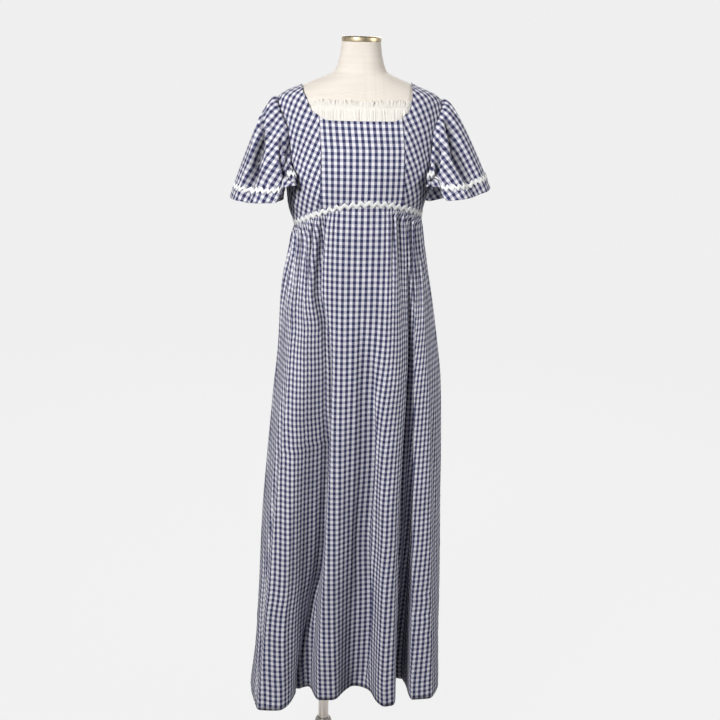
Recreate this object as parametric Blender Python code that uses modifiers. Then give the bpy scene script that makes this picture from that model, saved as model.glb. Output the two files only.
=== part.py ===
"""A gingham maxi dress standing on a limbless dress form.

Metres, +Z up, the front faces -Y. The origin is the centre of the stand's underside, on the pole's axis.
The dress and the torso share one upright axis, which stands beside the pole.
Angles round the body start at the centre front and grow towards the wearer's left, which is +X.
"""

import math

import bmesh
import bpy
import numpy as np

# Driving sizes
BODY_X = 0.056  # the torso's axis stands this far to the wearer's left of the pole
WALL = 0.0015  # cloth
TRIM_WALL = 0.0012  # braid and inset
GAP = 0.0003  # between pieces that touch
SEAM_PULL = 0.0003  # each panel's edge stays back from the seam line by this
LIFT = 0.065  # the dress and the torso are built at this much lower heights, then raised onto the stand
HEM_HEIGHT = 0.210
SEAM_FRONT_HEIGHT = 1.392  # the empire seam at the centre front
SEAM_DIP = 0.046  # how far it falls from there to the side seams
SEAM_BACK_DIP = 0.042  # and from the side seams to the centre back
SEAM_TILT = 0.0100  # it lies this much higher at the wearer's left side, and lower at the right
NECK_HEIGHT = 1.556  # the flat bottom of the front neckline
PRINCESS_X = 0.083  # centre front to each princess seam
NECK_SLIP = 0.009  # the neckline sits this far towards the wearer's right at the shoulders
ZIP_HALF = 0.0033
ZIP_FOOT_HEIGHT = 1.100
BRAID_PITCH = 0.018
BRAID_SWING = 0.0032  # the zigzag's middle line moves this far up and down
BRAID_HALF = 0.0044
BRAID_RISE = 0.0035  # the waist braid lies this far above the empire seam
BRAID_LIFT = 0.0013  # clear of the cloth, whose facets and gathers it crosses
SLEEVE_BRAID_LIFT = 0.0016
BRAID_ABOVE_HEM = 0.0275
BRAID_FROM_ARMHOLE = 0.0130  # it comes no nearer to the armhole seam than this
BRAID_FROM_ZIP = 0.0012
WAIST_BRAID_LENGTH = 0.80
POLE_RADIUS = 0.0125
POLE_FOOT = 0.012  # the pole stands in a bore whose floor is this high
POLE_BORE = POLE_RADIUS + GAP
FORM_FOOT = 0.880
HUB_HEIGHT = 0.1355
BASE_RADIUS = 0.150
SOCKET_TOP = FORM_FOOT + LIFT - GAP
CAP_RADIUS = 0.0408
CAP_HEIGHT = 0.0108

# The base, down its outer side: radius, height
BASE = (
    (0, POLE_FOOT),
    (POLE_BORE, POLE_FOOT),
    (POLE_BORE, HUB_HEIGHT),
    (POLE_BORE + 0.0012, HUB_HEIGHT),
    (0.0165, HUB_HEIGHT - 0.0030),
    (0.0195, HUB_HEIGHT - 0.0075),
    (0.0225, 0.1100),
    (0.0250, 0.0700),
    (0.0310, 0.0400),
    (0.0480, 0.0230),
    (0.0850, 0.0150),
    (BASE_RADIUS - 0.010, 0.0100),
    (BASE_RADIUS - 0.002, 0.0080),
    (BASE_RADIUS, 0.0050),
    (BASE_RADIUS, 0),
    (0, 0),
)

# The socket under the torso: radius, height below its top
SOCKET = (
    (POLE_BORE, 0),
    (0.045, 0),
    (0.045, 0.006),
    (0.021, 0.008),
    (0.019, 0.045),
    (POLE_BORE, 0.045),
    (POLE_BORE, 0),
)

# The cap, down its outer side: how far inside its radius, height above its underside
CAP = (
    (CAP_RADIUS, CAP_HEIGHT),
    (0.0040, CAP_HEIGHT),
    (0.0012, CAP_HEIGHT - 0.0012),
    (0, CAP_HEIGHT - 0.0035),
    (0, 0.0010),
    (0.0008, 0),
    (CAP_RADIUS, 0),
)

# The torso's sections: height, half width, front depth, back depth
TORSO = (
    (0.880, 0.1400, 0.0820, 0.0880),
    (0.940, 0.1470, 0.0860, 0.0940),
    (1.020, 0.1490, 0.0880, 0.0960),
    (1.100, 0.1400, 0.0880, 0.0900),
    (1.170, 0.1260, 0.0870, 0.0800),
    (1.230, 0.1160, 0.0880, 0.0780),
    (1.290, 0.1210, 0.0940, 0.0820),
    (1.335, 0.1290, 0.1030, 0.0880),
    (1.370, 0.1360, 0.1130, 0.0930),
    (1.410, 0.1450, 0.1210, 0.0990),
    (1.450, 0.1520, 0.1200, 0.1030),
    (1.490, 0.1590, 0.1120, 0.1040),
    (1.530, 0.1660, 0.1010, 0.1010),
    (1.565, 0.1700, 0.0900, 0.0960),
    (1.587, 0.1690, 0.0820, 0.0900),
    (1.599, 0.1640, 0.0780, 0.0860),
    (1.607, 0.1530, 0.0745, 0.0820),
    (1.618, 0.1270, 0.0700, 0.0770),
    (1.631, 0.0980, 0.0650, 0.0700),
    (1.642, 0.0720, 0.0600, 0.0640),
    (1.651, 0.0550, 0.0560, 0.0570),
    (1.665, 0.0485, 0.0510, 0.0500),
    (1.690, 0.0425, 0.0435, 0.0430),
    (1.7095, 0.0403, 0.0403, 0.0403),
)
NECK_TOP = TORSO[-1][0]
TORSO_ROWS = 12  # even rows up to the shoulders
TORSO_SHOULDER = 1.53
TORSO_TOP_ROWS = (1.565, 1.585, 1.597, 1.605, 1.613, 1.622, 1.631, 1.641, 1.650, 1.664, 1.688, NECK_TOP)
TORSO_COLUMNS = 36

# The bodice hangs loose above the seam at the wearer's right side: angle, height, distance, and half extents
SLACK = (-84, 1.372, 0.0065, 24, 0.030)

# How far the middle of the cloth stands off the torso: height, distance
BODICE_EASE = (
    (1.290, 0.0038),
    (1.380, 0.0048),
    (1.440, 0.0062),
    (1.500, 0.0048),
    (1.540, 0.0034),
    (1.575, 0.0028),
    (1.600, 0.0028),
    (1.640, 0.0018),
)
FRONT_ROOM = 0.0022  # more room behind the front neckline, where the inset lies
FRONT_ROOM_COSINES = (0.45, 0.65)  # it fades in between these, going round to the front
FRONT_ROOM_START = (1.49, 1.54)  # and between these heights
FRONT_ROOM_END = (1.610, 1.624)

# The front neckline up to the shoulder: distance from its middle, height
NECK_CURVE = (
    (0.000, NECK_HEIGHT),
    (0.060, NECK_HEIGHT + 0.0003),
    (PRINCESS_X, NECK_HEIGHT + 0.0070),
    (0.0965, NECK_HEIGHT + 0.0180),
    (0.1005, NECK_HEIGHT + 0.0270),
    (0.1030, NECK_HEIGHT + 0.0360),
    (0.1063, NECK_HEIGHT + 0.0445),
    (0.109, NECK_HEIGHT + 0.0530),
)
NECK_SIDE_X = 0.113  # where the neckline crosses the shoulder
NECK_SIDE_ANGLES = (90, 79, 68, 58, 48)  # its points from there to the front
SLIP_HEIGHTS = (1.50, 1.625)  # the neckline's slip grows between these

# The back neckline: angle from the centre front, height
BACK_NECK = ((180, 1.592), (165, 1.5925), (150, 1.594), (134, 1.598), (118, 1.605), (103, 1.616))
BACK_ROW_CROWDING = 1.4  # the back's rows lie closer near the neckline

# The armhole seam: turn from the shoulder over the front, angle round the body, height
ARMHOLE = (
    (0, 90, 1.597),
    (40, 71, 1.572),
    (90, 61, 1.530),
    (130, 61.5, 1.483),
    (160, 73, 1.456),
    (180, 90, 1.450),
    (205, 103, 1.460),
    (240, 111, 1.500),
    (290, 110, 1.550),
    (330, 102, 1.583),
)

# Where the panels' edges have their points along half of it
ARMHOLE_TURNS = (0, 12, 24, 37, 51, 66, 83, 101, 118, 132, 144, 155, 164, 172, 180)
SIDE_SEAM_ROWS = 4
UNDERARM_DIP = 0.010  # the side front's rows dip to reach the underarm corner from below
DIP_ROWS = 2.6  # and the dip fades over this many rows
DIP_PEAK = 0.105  # scales the dip's curve across the panel to a top of 1

# The sleeve's hem, in the turns of the armhole: turn, out from the body's axis, towards the back, height,
# and how far the sleeve stands out on the way down
SLEEVE_HEM = (
    (0, 0.273, 0.000, 1.389, 0.017),
    (28, 0.262, -0.038, 1.387, 0.016),
    (50, 0.244, -0.056, 1.387, 0.009),
    (68, 0.226, -0.080, 1.388, 0.012),
    (88, 0.200, -0.094, 1.390, 0.009),
    (102, 0.177, -0.094, 1.391, 0.004),
    (113, 0.167, -0.086, 1.405, -0.001),
    (125, 0.160, -0.090, 1.4225, 0.001),
    (143, 0.133, -0.098, 1.4285, 0.005),
    (160, 0.150, -0.058, 1.430, 0.002),
    (180, 0.173, -0.004, 1.426, 0.000),
    (200, 0.170, 0.040, 1.405, 0.001),
    (222, 0.158, 0.077, 1.374, 0.003),
    (248, 0.175, 0.096, 1.364, 0.007),
    (285, 0.213, 0.094, 1.366, 0.011),
    (325, 0.254, 0.056, 1.378, 0.016),
)
BULGE_PEAK = 2.17  # scales the bulge's curve to a top of 1
BULGE_EARLY = 0.35  # the power that puts the bulge near the armhole
SLEEVE_TOP_POWER = 1.3  # how narrow the sleeve's top is, over which it flares and lifts
SLEEVE_MIDDLE = (88, 1.525)  # the middle of the armhole: angle, height
SLEEVE_CENTRE = (0.185, 0.0, 1.46)  # the middle of the sleeve, from which the bulge points away
SLEEVE_FLARE = {1: 0.050, -1: 0.0}  # the wearer's left sleeve stands out a little more
SLEEVE_LIFT = {1: 0.027, -1: 0.0}  # and higher
SLEEVE_INSET = 0.0033  # its first ring lies this far inside the armhole seam
SLEEVE_RISE = 0.0056  # it stands straight out from the seam by this before it falls
SLEEVE_TOP_RISE = 0.3  # the share of that at the shoulder
SLEEVE_RISE_END = 0.7  # the rise is gone at this share of the sleeve's length
SLEEVE_COLUMNS = 40
CROWDING = 17  # the columns lie closer by this many degrees round the lobe beside the body
CROWDED_TURN = 155
SLEEVE_RINGS = (0, 0.035, 0.16, 0.32, 0.50, 0.68, 0.85, 1.0)  # shares of its length

# The skirt's folds: name, angle at the seam, hem place from the body's axis, half the flat top, onset
FOLDS = (
    ("right side", -97, -0.236, -0.050, 0.025, 1.00),
    ("right crest", -62, -0.194, -0.155, 0.023, 1.00),
    ("right groove", -34, -0.105, -0.070, 0.006, 0.80),
    ("inner right crest", -20, -0.060, -0.125, 0.014, 1.00),
    ("centre groove", 4, 0.023, -0.081, 0.016, 1.15),
    ("inner left crest", 26, 0.090, -0.154, 0.011, 1.00),
    ("left slot", 40, 0.127, -0.052, 0.006, 0.75),
    ("left crest", 62, 0.169, -0.132, 0.020, 0.90),
    ("left side", 88, 0.224, -0.045, 0.022, 1.00),
    ("left back groove", 108, 0.188, 0.042, 0.006, 1.00),
    ("left back crest", 124, 0.178, 0.128, 0.018, 1.00),
    ("left inner groove", 141, 0.112, 0.088, 0.008, 1.00),
    ("left inner crest", 158, 0.064, 0.158, 0.015, 1.10),
    ("centre back", 180, 0.001, 0.114, 0.014, 1.30),
    ("right inner crest", 201, -0.066, 0.160, 0.016, 1.10),
    ("right inner groove", 219, -0.120, 0.092, 0.008, 1.00),
    ("right back crest", 236, -0.178, 0.131, 0.018, 1.00),
    ("right back groove", 251, -0.204, 0.040, 0.008, 1.00),
)
FIRST_SIDE, LEFT_SIDE = 0, 8  # rows of FOLDS at the side seams
FOLD_SPREAD = 1.5  # half the width in degrees of a fold's top at the seam
HEM_WEIGHT = 0.55  # how far the places round the skirt follow its hem, and the rest its seam
FOLD_POWER = 1.15  # how late the folds open on the way down

# The hem's oval without its folds: half widths right and left, depths front and back
HEM_OVAL = (0.232, 0.222, 0.118, 0.134)

# How much of the hem's width is reached: share of the drop, wearer's right, wearer's left
SKIRT_SPREAD = (
    (0.00, 0.00, 0.00),
    (0.05, 0.12, 0.10),
    (0.10, 0.25, 0.22),
    (0.16, 0.33, 0.38),
    (0.23, 0.37, 0.54),
    (0.33, 0.48, 0.72),
    (0.46, 0.61, 0.80),
    (0.60, 0.73, 0.85),
    (0.75, 0.79, 0.91),
    (0.88, 0.85, 0.94),
    (1.00, 1.00, 1.00),
)
SKIRT_ROWS = (0.0004, 0.010, 0.026, 0.055, 0.10, 0.17, 0.26, 0.38, 0.52, 0.68, 0.85, 1.0)

# The gathers sewn into the empire seam: angle at the seam, depth, half width in degrees
GATHERS = (
    (-90, 0.005, 4.0),
    (-74, 0.006, 4.0),
    (-57, 0.009, 4.0),
    (-45, 0.005, 3.5),
    (-34, 0.010, 4.0),
    (34, 0.010, 4.0),
    (46, 0.009, 3.5),
    (57, 0.008, 3.5),
    (72, 0.006, 4.0),
    (86, 0.005, 4.0),
    (104, 0.006, 4.5),
    (120, 0.007, 4.5),
    (136, 0.008, 4.5),
    (152, 0.007, 4.5),
    (210, 0.007, 4.5),
    (226, 0.008, 4.5),
    (241, 0.007, 4.5),
    (256, 0.006, 4.5),
)
GATHER_REACH = 0.30  # metres below the seam
GATHER_FULL = 0.030  # where they are deepest
GATHER_PUFF = 0.0035  # the cloth between the gathers stands out
SMOOTH_FRONT = 24  # degrees either side of the centre front without gathers

# The white inset behind the neckline
INSET_HALF_WIDTH = 0.1075
INSET_WAVES = 26
INSET_LINE_HEIGHT = 1.583  # the gathering stitches
INSET_TOP_HEIGHT = 1.5965
INSET_OUT = 0.0015  # its middle's distance from the form
INSET_BELOW_EDGE = 0.008  # it runs this far down behind the neckline
INSET_BELOW_LINE = 0.006  # and at least this far below the stitches
INSET_MIDDLE_RISE = 0.004  # its middle row lies this far above the mean of its neighbours
INSET_FLAT = (0.020, 0.006)  # its waves fade out between these distances from its ends
INSET_SWINGS = (0.0, 0.0016, 0.0010, 0.0030)  # its waves from the bottom row to the top

# The zip's metal, in its own frame: across, out from the cloth, up
SLIDER_SIZE = (0.0066, 0.0022, 0.0100)
SLIDER_HEIGHT = 1.580
LUG_THICK = 0.0011
LUG_APART = 0.0040
PIN_RADIUS = 0.0006
EYE_RADIUS = 0.0018
EYE_BORE = 0.0010
PULL_SIZE = (0.0054, 0.0014, 0.0230)
LUG_REACH = (0.0040, 0.0036)  # out from the slider, along it
LUG_SINK = 0.0009  # the lugs' middles lie this far behind the pin's
PIN_ABOVE_MIDDLE = 0.0010
NECK_LENGTH = 0.0060  # the pull's narrow part
NECK_DROP = 0.0040  # from the pin to that part's middle
BLADE_DROP = 0.0062  # from the pin to the blade's top


def columns(table):
    """A table's columns, as arrays."""
    return [np.array(c, float) for c in zip(*table)]


def smooth(knots, values, at):
    """A monotone cubic through the knots, which never overshoots between two rows."""
    knots, values, at = (np.asarray(a, float) for a in (knots, values, at))
    step = np.diff(knots)
    slope = np.diff(values) / step
    tangent = np.zeros_like(values)
    tangent[0], tangent[-1] = slope[0], slope[-1]
    same = slope[:-1] * slope[1:] > 0
    before, after = slope[:-1][same], slope[1:][same]
    tangent[1:-1][same] = 2 * before * after / (before + after)
    cell = np.clip(np.searchsorted(knots, at, side="right") - 1, 0, len(step) - 1)
    part = (at - knots[cell]) / step[cell]
    start = values[cell] * (1 + 2 * part) * (1 - part) ** 2
    end = values[cell + 1] * (3 - 2 * part) * part**2
    leave = tangent[cell] * step[cell] * part * (1 - part) ** 2
    arrive = tangent[cell + 1] * step[cell] * part**2 * (part - 1)
    return start + end + leave + arrive


def smooth_loop(knots, values, at, turn, gain=0.0):
    """The same round a closed loop. A value that grows all the way round gains that much each turn."""
    knots, values = np.asarray(knots, float), np.asarray(values, float)
    around = np.concatenate([knots - turn, knots, knots + turn])
    return smooth(around, np.concatenate([values - gain, values, values + gain]), at)


def ramp(value, start, end):
    """0 before start, 1 after end, and smooth between."""
    part = np.clip((np.asarray(value, float) - start) / (end - start), 0, 1)
    return part * part * (3 - 2 * part)


def unit(vectors):
    return vectors / np.maximum(np.linalg.norm(vectors, axis=-1, keepdims=True), 1e-12)


# The torso and the cloth that lies on it


def skin(angle, height):
    """Points of the torso at angles in degrees."""
    heights, half_width, front, back = columns(TORSO)
    turn = np.radians(angle)
    width = smooth(heights, half_width, height)
    depth = np.where(np.cos(turn) > 0, smooth(heights, front, height), smooth(heights, back, height))
    return np.stack([BODY_X + width * np.sin(turn), -depth * np.cos(turn), height + 0 * turn], axis=-1)


def outward(angle, height):
    """The torso's outward direction."""
    across = skin(angle + 0.5, height) - skin(angle - 0.5, height)
    up = skin(angle, height + 0.001) - skin(angle, height - 0.001)
    return unit(np.cross(across, up))


def off_skin(angle, height, out):
    angle, height, out = np.broadcast_arrays(*(np.asarray(a, float) for a in (angle, height, out)))
    return skin(angle, height) + outward(angle, height) * out[..., None]


def bodice(angle, height, out=0.0):
    """Points of the bodice's middle surface, moved out."""
    ahead = ramp(np.cos(np.radians(angle)), *FRONT_ROOM_COSINES)
    chest = ramp(height, *FRONT_ROOM_START) * (1 - ramp(height, *FRONT_ROOM_END))
    at_angle, at_height, slack, degrees, reach = SLACK
    across = (np.mod(angle - at_angle + 180, 360) - 180) / degrees
    loose = slack * np.exp(-(across**2) - ((height - at_height) / reach) ** 2)
    ease = smooth(*columns(BODICE_EASE), height) + FRONT_ROOM * ahead * chest + loose
    return off_skin(angle, height, ease + out)


def half_width(height):
    return smooth(columns(TORSO)[0], columns(TORSO)[1], height)


def shoulder_height(x):
    """The height of the shoulder's ridge at a distance from the body's axis."""
    heights = np.linspace(1.60, 1.65, 200)
    return np.interp(-abs(x), -half_width(heights), heights)


def seam_height(angle):
    sine, cosine = np.sin(np.radians(angle)), np.cos(np.radians(angle))
    fall = np.where(cosine > 0, SEAM_DIP * sine**2, SEAM_DIP + SEAM_BACK_DIP * cosine**2)
    return SEAM_FRONT_HEIGHT - fall + SEAM_TILT * sine


def slip(height):
    """Where the neckline's middle lies from the body's axis at a height: it has slipped to the wearer's right."""
    return -NECK_SLIP * np.interp(height, SLIP_HEIGHTS, (0, 1))


def front_angle(x, height):
    """The angle of a point of the front at x from the body's axis."""
    return np.degrees(np.arcsin(np.clip(x / half_width(height), -1, 1)))


def neck_height(x):
    """The front neckline's height at x from the body's axis."""
    middle = slip(NECK_HEIGHT)
    return smooth(*columns(NECK_CURVE), np.abs(x - middle))


def armhole(turn):
    """Angle and height along the armhole seam."""
    turns, angles, heights = columns(ARMHOLE)
    return smooth_loop(turns, angles, turn, 360), smooth_loop(turns, heights, turn, 360)


def chart(angles, heights):
    return np.stack(np.broadcast_arrays(np.asarray(angles, float), np.asarray(heights, float)), axis=-1)


def fill(left, right, top, bottom):
    """Chart points between four edges: left and right run down the panel, top and bottom across it."""
    down = np.linspace(0, 1, len(left))[:, None, None]
    over = np.linspace(0, 1, len(top))[None, :, None]
    sides = (1 - over) * left[:, None] + over * right[:, None]
    ends = (1 - down) * top[None] + down * bottom[None]
    start = (1 - over) * left[0] + over * right[0]
    finish = (1 - over) * left[-1] + over * right[-1]
    return sides + ends - (1 - down) * start - down * finish


# Meshes


def material(name, colour, roughness, metallic=0.0):
    made = bpy.data.materials.new(name)
    made.use_nodes = True
    shader = made.node_tree.nodes["Principled BSDF"]
    shader.inputs["Base Color"].default_value = (*colour, 1)
    shader.inputs["Roughness"].default_value = roughness
    shader.inputs["Metallic"].default_value = metallic
    return made


def add_object(name, build, finish):
    """An object of the dress, whose mesh `build` draws."""
    mesh = bpy.data.meshes.new(name)
    drawing = bmesh.new()
    build(drawing)
    drawing.to_mesh(mesh)
    drawing.free()
    mesh.shade_smooth()
    mesh.set_sharp_from_angle(angle=math.radians(40))
    made = bpy.data.objects.new(name, mesh)
    made.data.materials.append(finish)
    PARTS.objects.link(made)
    return made


def grid_faces(drawing, points, closed=False):
    """Quads over rows of points, joined into a tube where closed."""
    rows = [[drawing.verts.new(point) for point in row] for row in points]
    count = len(rows[0])
    for upper, lower in zip(rows, rows[1:]):
        for i in range(count if closed else count - 1):
            j = (i + 1) % count
            drawing.faces.new((upper[i], lower[i], lower[j], upper[j]))
    return rows


def pulled_in(points, closed=False, pull=SEAM_PULL):
    """The grid with its outer rows and columns moved a little towards their neighbours."""
    points = np.array(points, float)
    edges = [(0, 1), (-1, -2)]
    for edge, inner in edges:
        points[edge] += unit(points[inner] - points[edge]) * pull
    if not closed:
        for edge, inner in edges:
            points[:, edge] += unit(points[:, inner] - points[:, edge]) * pull
    return points


def cloth(name, points, finish, closed=False, wall=WALL):
    """A wall of cloth round a grid of points."""
    made = add_object(name, lambda drawing: grid_faces(drawing, points, closed), finish)
    solidify = made.modifiers.new("wall", "SOLIDIFY")
    solidify.thickness = wall
    solidify.offset = 0
    return made


def turned(name, profile, finish, steps=24, x=0.0):
    """A turned solid. Its profile runs down the outer side, as radius and height."""

    def build(drawing):
        verts = [drawing.verts.new((radius, 0, height)) for radius, height in profile]
        for a, b in zip(verts, verts[1:]):
            drawing.edges.new((a, b))

    made = add_object(name, build, finish)
    screw = made.modifiers.new("turn", "SCREW")
    screw.steps = screw.render_steps = steps
    screw.use_merge_vertices = True
    screw.merge_threshold = 0.00005
    made.location.x = x
    return made


# The bodice


def neck_edge(side):
    """The side panel's inner edge from the shoulder down to the neckline's corner."""
    over = np.array(NECK_SIDE_ANGLES, float)
    across = np.linspace(NECK_SIDE_X, NECK_CURVE[-1][0] + 0.001, len(over)) + side * slip(1.615)
    ridge = shoulder_height(across / np.sin(np.radians(over)))
    offsets, heights = columns(NECK_CURVE[-2:1:-1])
    angles = front_angle(offsets + side * slip(heights), heights)
    return chart(np.append(over, angles), np.append(ridge, heights))


def princess_edge(side, count):
    """From the neckline's corner down to the empire seam."""
    heights = np.linspace(NECK_CURVE[2][1], seam_height(side * 37), count)
    angles = front_angle(PRINCESS_X + side * slip(heights), heights)
    heights[-1] = seam_height(side * angles[-1])
    return chart(angles, heights)


def outer_edge(side, through_front):
    """From the shoulder down the armhole, then down the side seam."""
    turns = np.array(ARMHOLE_TURNS, float)
    angles, heights = armhole(turns if through_front else 360 - turns)
    side_rows = np.linspace(heights[-1], seam_height(side * 90), SIDE_SEAM_ROWS + 1)[1:]
    return chart(np.append(angles, 90 + 0 * side_rows), np.append(heights, side_rows))


def seam_edge(side, start, end, count):
    angles = np.linspace(start, end, count)
    return chart(angles, seam_height(side * angles))


PRINCESS_ROWS = 10
SIDE_ROWS = len(ARMHOLE_TURNS) + SIDE_SEAM_ROWS


def front_centre_grid():
    right, left = (princess_edge(side, PRINCESS_ROWS) for side in (-1, 1))
    over = np.linspace(0, 1, 13)
    angles = -right[:, :1] * (1 - over) + left[:, :1] * over
    levels = right[:, 1:] * (1 - over) + left[:, 1:] * over
    share = np.linspace(0, 1, PRINCESS_ROWS)[:, None]
    top = neck_height(PRINCESS_X * (2 * over - 1) + slip(NECK_HEIGHT)) - levels[0]
    bottom = seam_height(angles[-1]) - levels[-1]
    return bodice(angles, levels + (1 - share) * top + share * bottom)


def underarm_dip(count, rows, across):
    """How far the rows dip on their way to the corner row, and nothing along the edges."""
    row = np.arange(rows)[:, None]
    over = np.linspace(0, 1, across)[None]
    near = np.exp(-(((row - count) / DIP_ROWS) ** 2)) * (rows - 1 - row) / (rows - 1 - count)
    return UNDERARM_DIP * near * over**2 * (1 - over) / DIP_PEAK


def side_front_grid(side):
    inner = np.concatenate([neck_edge(side), princess_edge(side, PRINCESS_ROWS)[1:]])
    outer = outer_edge(side, through_front=True)
    shoulder = np.linspace(inner[0], outer[0], 8)
    seam = seam_edge(side, inner[-1][0], 90, 8)
    points = fill(inner, outer, shoulder, seam)
    points[..., 1] -= underarm_dip(len(ARMHOLE_TURNS) - 1, *points.shape[:2])
    return bodice(side * points[..., 0], points[..., 1])


def back_grid(side):
    neck_point = neck_edge(side)[0]
    outer = outer_edge(side, through_front=False)
    share = np.linspace(0, 1, SIDE_ROWS) ** BACK_ROW_CROWDING
    heights = BACK_NECK[0][1] + (seam_height(180) - BACK_NECK[0][1]) * share
    from_zip = np.degrees((ZIP_HALF + GAP) / half_width(heights))
    inner = chart(180 - from_zip, heights)
    neck = np.array([inner[0], *BACK_NECK[1:], neck_point], float)
    shoulder = np.linspace(neck_point, outer[0], 5)
    top = np.concatenate([neck, shoulder[1:]])
    seam = seam_edge(side, inner[-1][0], 90, len(top))
    points = fill(inner, outer, top, seam)
    return bodice(side * points[..., 0], points[..., 1])


# The sleeves


def sleeve(side, turn, share):
    """Points of a sleeve: turns round it in degrees, and shares of the way from the armhole to the hem."""
    turn, share = np.broadcast_arrays(np.asarray(turn, float), np.asarray(share, float))
    turns, out, back, height, bulge = columns(SLEEVE_HEM)
    topness = ((1 + np.cos(np.radians(turn))) / 2) ** SLEEVE_TOP_POWER
    hem = np.stack(
        [
            BODY_X + side * (1 + SLEEVE_FLARE[side] * topness) * smooth_loop(turns, out, turn, 360),
            smooth_loop(turns, back, turn, 360),
            smooth_loop(turns, height, turn, 360) + SLEEVE_LIFT[side] * topness,
        ],
        axis=-1,
    )
    angles, heights = armhole(turn)
    seam = bodice(side * angles, heights)
    middle = bodice(side * SLEEVE_MIDDLE[0], SLEEVE_MIDDLE[1])
    start = seam + unit(middle - seam) * SLEEVE_INSET
    rise = outward(side * angles, heights) * SLEEVE_RISE
    rise = rise * (1 - (1 - SLEEVE_TOP_RISE) * topness[..., None])
    centre = np.array([BODY_X, 0, 0]) + np.array(SLEEVE_CENTRE) * (side, 1, 1)
    away = unit((start + hem) / 2 - centre)
    lift = smooth_loop(turns, bulge, turn, 360) * BULGE_PEAK * share**BULGE_EARLY * (1 - share)
    risen = ramp(share, 0, SLEEVE_RINGS[1]) * (1 - ramp(share, SLEEVE_RINGS[1], SLEEVE_RISE_END))
    return start + (hem - start) * share[..., None] + away * lift[..., None] + rise * risen[..., None]


def sleeve_grid(side):
    even = np.linspace(0, 360, SLEEVE_COLUMNS, endpoint=False)
    turns = even - CROWDING * np.sin(np.radians(even - CROWDED_TURN))
    return sleeve(side, turns[None, ::side], np.array(SLEEVE_RINGS)[:, None])


# The skirt


def fold_knots():
    """Two knots for each fold, at the ends of its flat top, and how far round each lies."""
    _, angle, x, y, flat, onset = zip(*FOLDS)
    place = np.array([x, y], float).T
    along = unit(np.roll(place, -1, axis=0) - np.roll(place, 1, axis=0))
    flats = along * np.array(flat)[:, None]
    hem = np.stack([place - flats, place + flats], axis=1).reshape(-1, 2)
    angles = np.stack([np.array(angle) - FOLD_SPREAD, np.array(angle) + FOLD_SPREAD], axis=1)
    angles = angles.reshape(-1)
    onsets = np.repeat(onset, 2)
    hem_step = np.linalg.norm(np.roll(hem, -1, axis=0) - hem, axis=1)
    angle_step = np.diff(np.append(angles, angles[0] + 360))
    step = HEM_WEIGHT * hem_step / hem_step.sum() + (1 - HEM_WEIGHT) * angle_step / 360
    knots = np.concatenate([[0], np.cumsum(step)[:-1]])
    return knots, angles, hem, onsets


KNOTS, KNOT_ANGLES, KNOT_HEM, KNOT_ONSETS = fold_knots()


def fold_place(row):
    """How far round a fold's middle lies."""
    return (KNOTS[2 * row] + KNOTS[2 * row + 1]) / 2


def oval(hem):
    """The point of the plain hem oval nearest in angle to a point of the folded hem."""
    right, left, front, back = HEM_OVAL
    width = np.where(hem[..., 0] > 0, left, right)
    depth = np.where(hem[..., 1] > 0, back, front)
    turn = np.arctan2(hem[..., 0] / width, -hem[..., 1] / depth)
    return np.stack([width * np.sin(turn), -depth * np.cos(turn)], axis=-1)


KNOT_OVAL = oval(KNOT_HEM)


def gather(angle, drop):
    """How far a gather draws the cloth in, or puffs it out, at a drop in metres below the seam."""
    angle = np.mod(angle + 100, 360) - 100
    drawn = sum(depth * np.exp(-(((angle - at) / width) ** 2)) for at, depth, width in GATHERS)
    quiet = np.exp(-((angle / SMOOTH_FRONT) ** 4))
    fade = ramp(drop, 0, GATHER_FULL) * (1 - ramp(drop, GATHER_FULL, GATHER_REACH))
    return (GATHER_PUFF * (1 - quiet) - drawn) * fade


def skirt(place, share):
    """Points of the skirt's middle surface: places round it from 0 to 1, and shares of the drop to the hem."""
    place, share = np.broadcast_arrays(np.asarray(place, float), np.asarray(share, float))
    angle = smooth_loop(KNOTS, KNOT_ANGLES, place, 1.0, 360)
    hem = np.stack([smooth_loop(KNOTS, KNOT_HEM[:, i], place, 1.0) for i in (0, 1)], axis=-1)
    plain = np.stack([smooth_loop(KNOTS, KNOT_OVAL[:, i], place, 1.0) for i in (0, 1)], axis=-1)
    onset = smooth_loop(KNOTS, KNOT_ONSETS, place, 1.0)
    top = bodice(angle, seam_height(angle))
    shares, right, left = columns(SKIRT_SPREAD)
    leftness = (1 + np.sin(np.radians(angle))) / 2
    spread = (1 - leftness) * smooth(shares, right, share) + leftness * smooth(shares, left, share)
    fold = np.clip(share, 1e-6, 1) ** (FOLD_POWER * onset)
    drop = share * (top[..., 2] - HEM_HEIGHT)
    way = outward(angle, seam_height(angle))[..., :2]
    seam = top[..., :2] - np.array([BODY_X, 0])
    flat = seam + (plain - seam) * spread[..., None] + (hem - plain) * fold[..., None]
    flat = flat + unit(way) * gather(angle, drop)[..., None] + np.array([BODY_X, 0])
    return np.concatenate([flat, (top[..., 2] - drop)[..., None]], axis=-1)


def place_of_angle(angle):
    """The place round the skirt that hangs from an angle of the seam."""
    places = np.linspace(-0.5, 1.5, 4001)
    return np.interp(angle, smooth_loop(KNOTS, KNOT_ANGLES, places, 1.0, 360), places)


def stepped(place, share, distance):
    """The place that lies this far along from another, in metres."""
    reach = np.linalg.norm(skirt(place + 1e-4, share) - skirt(place - 1e-4, share), axis=-1) / 2e-4
    return place + distance / reach


def zip_clearance(height):
    """Half the opening at the centre back, which the zip fills down to its foot."""
    return (ZIP_HALF + 2 * GAP) * ramp(height, ZIP_FOOT_HEIGHT - 0.020, ZIP_FOOT_HEIGHT - 0.002)


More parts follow.
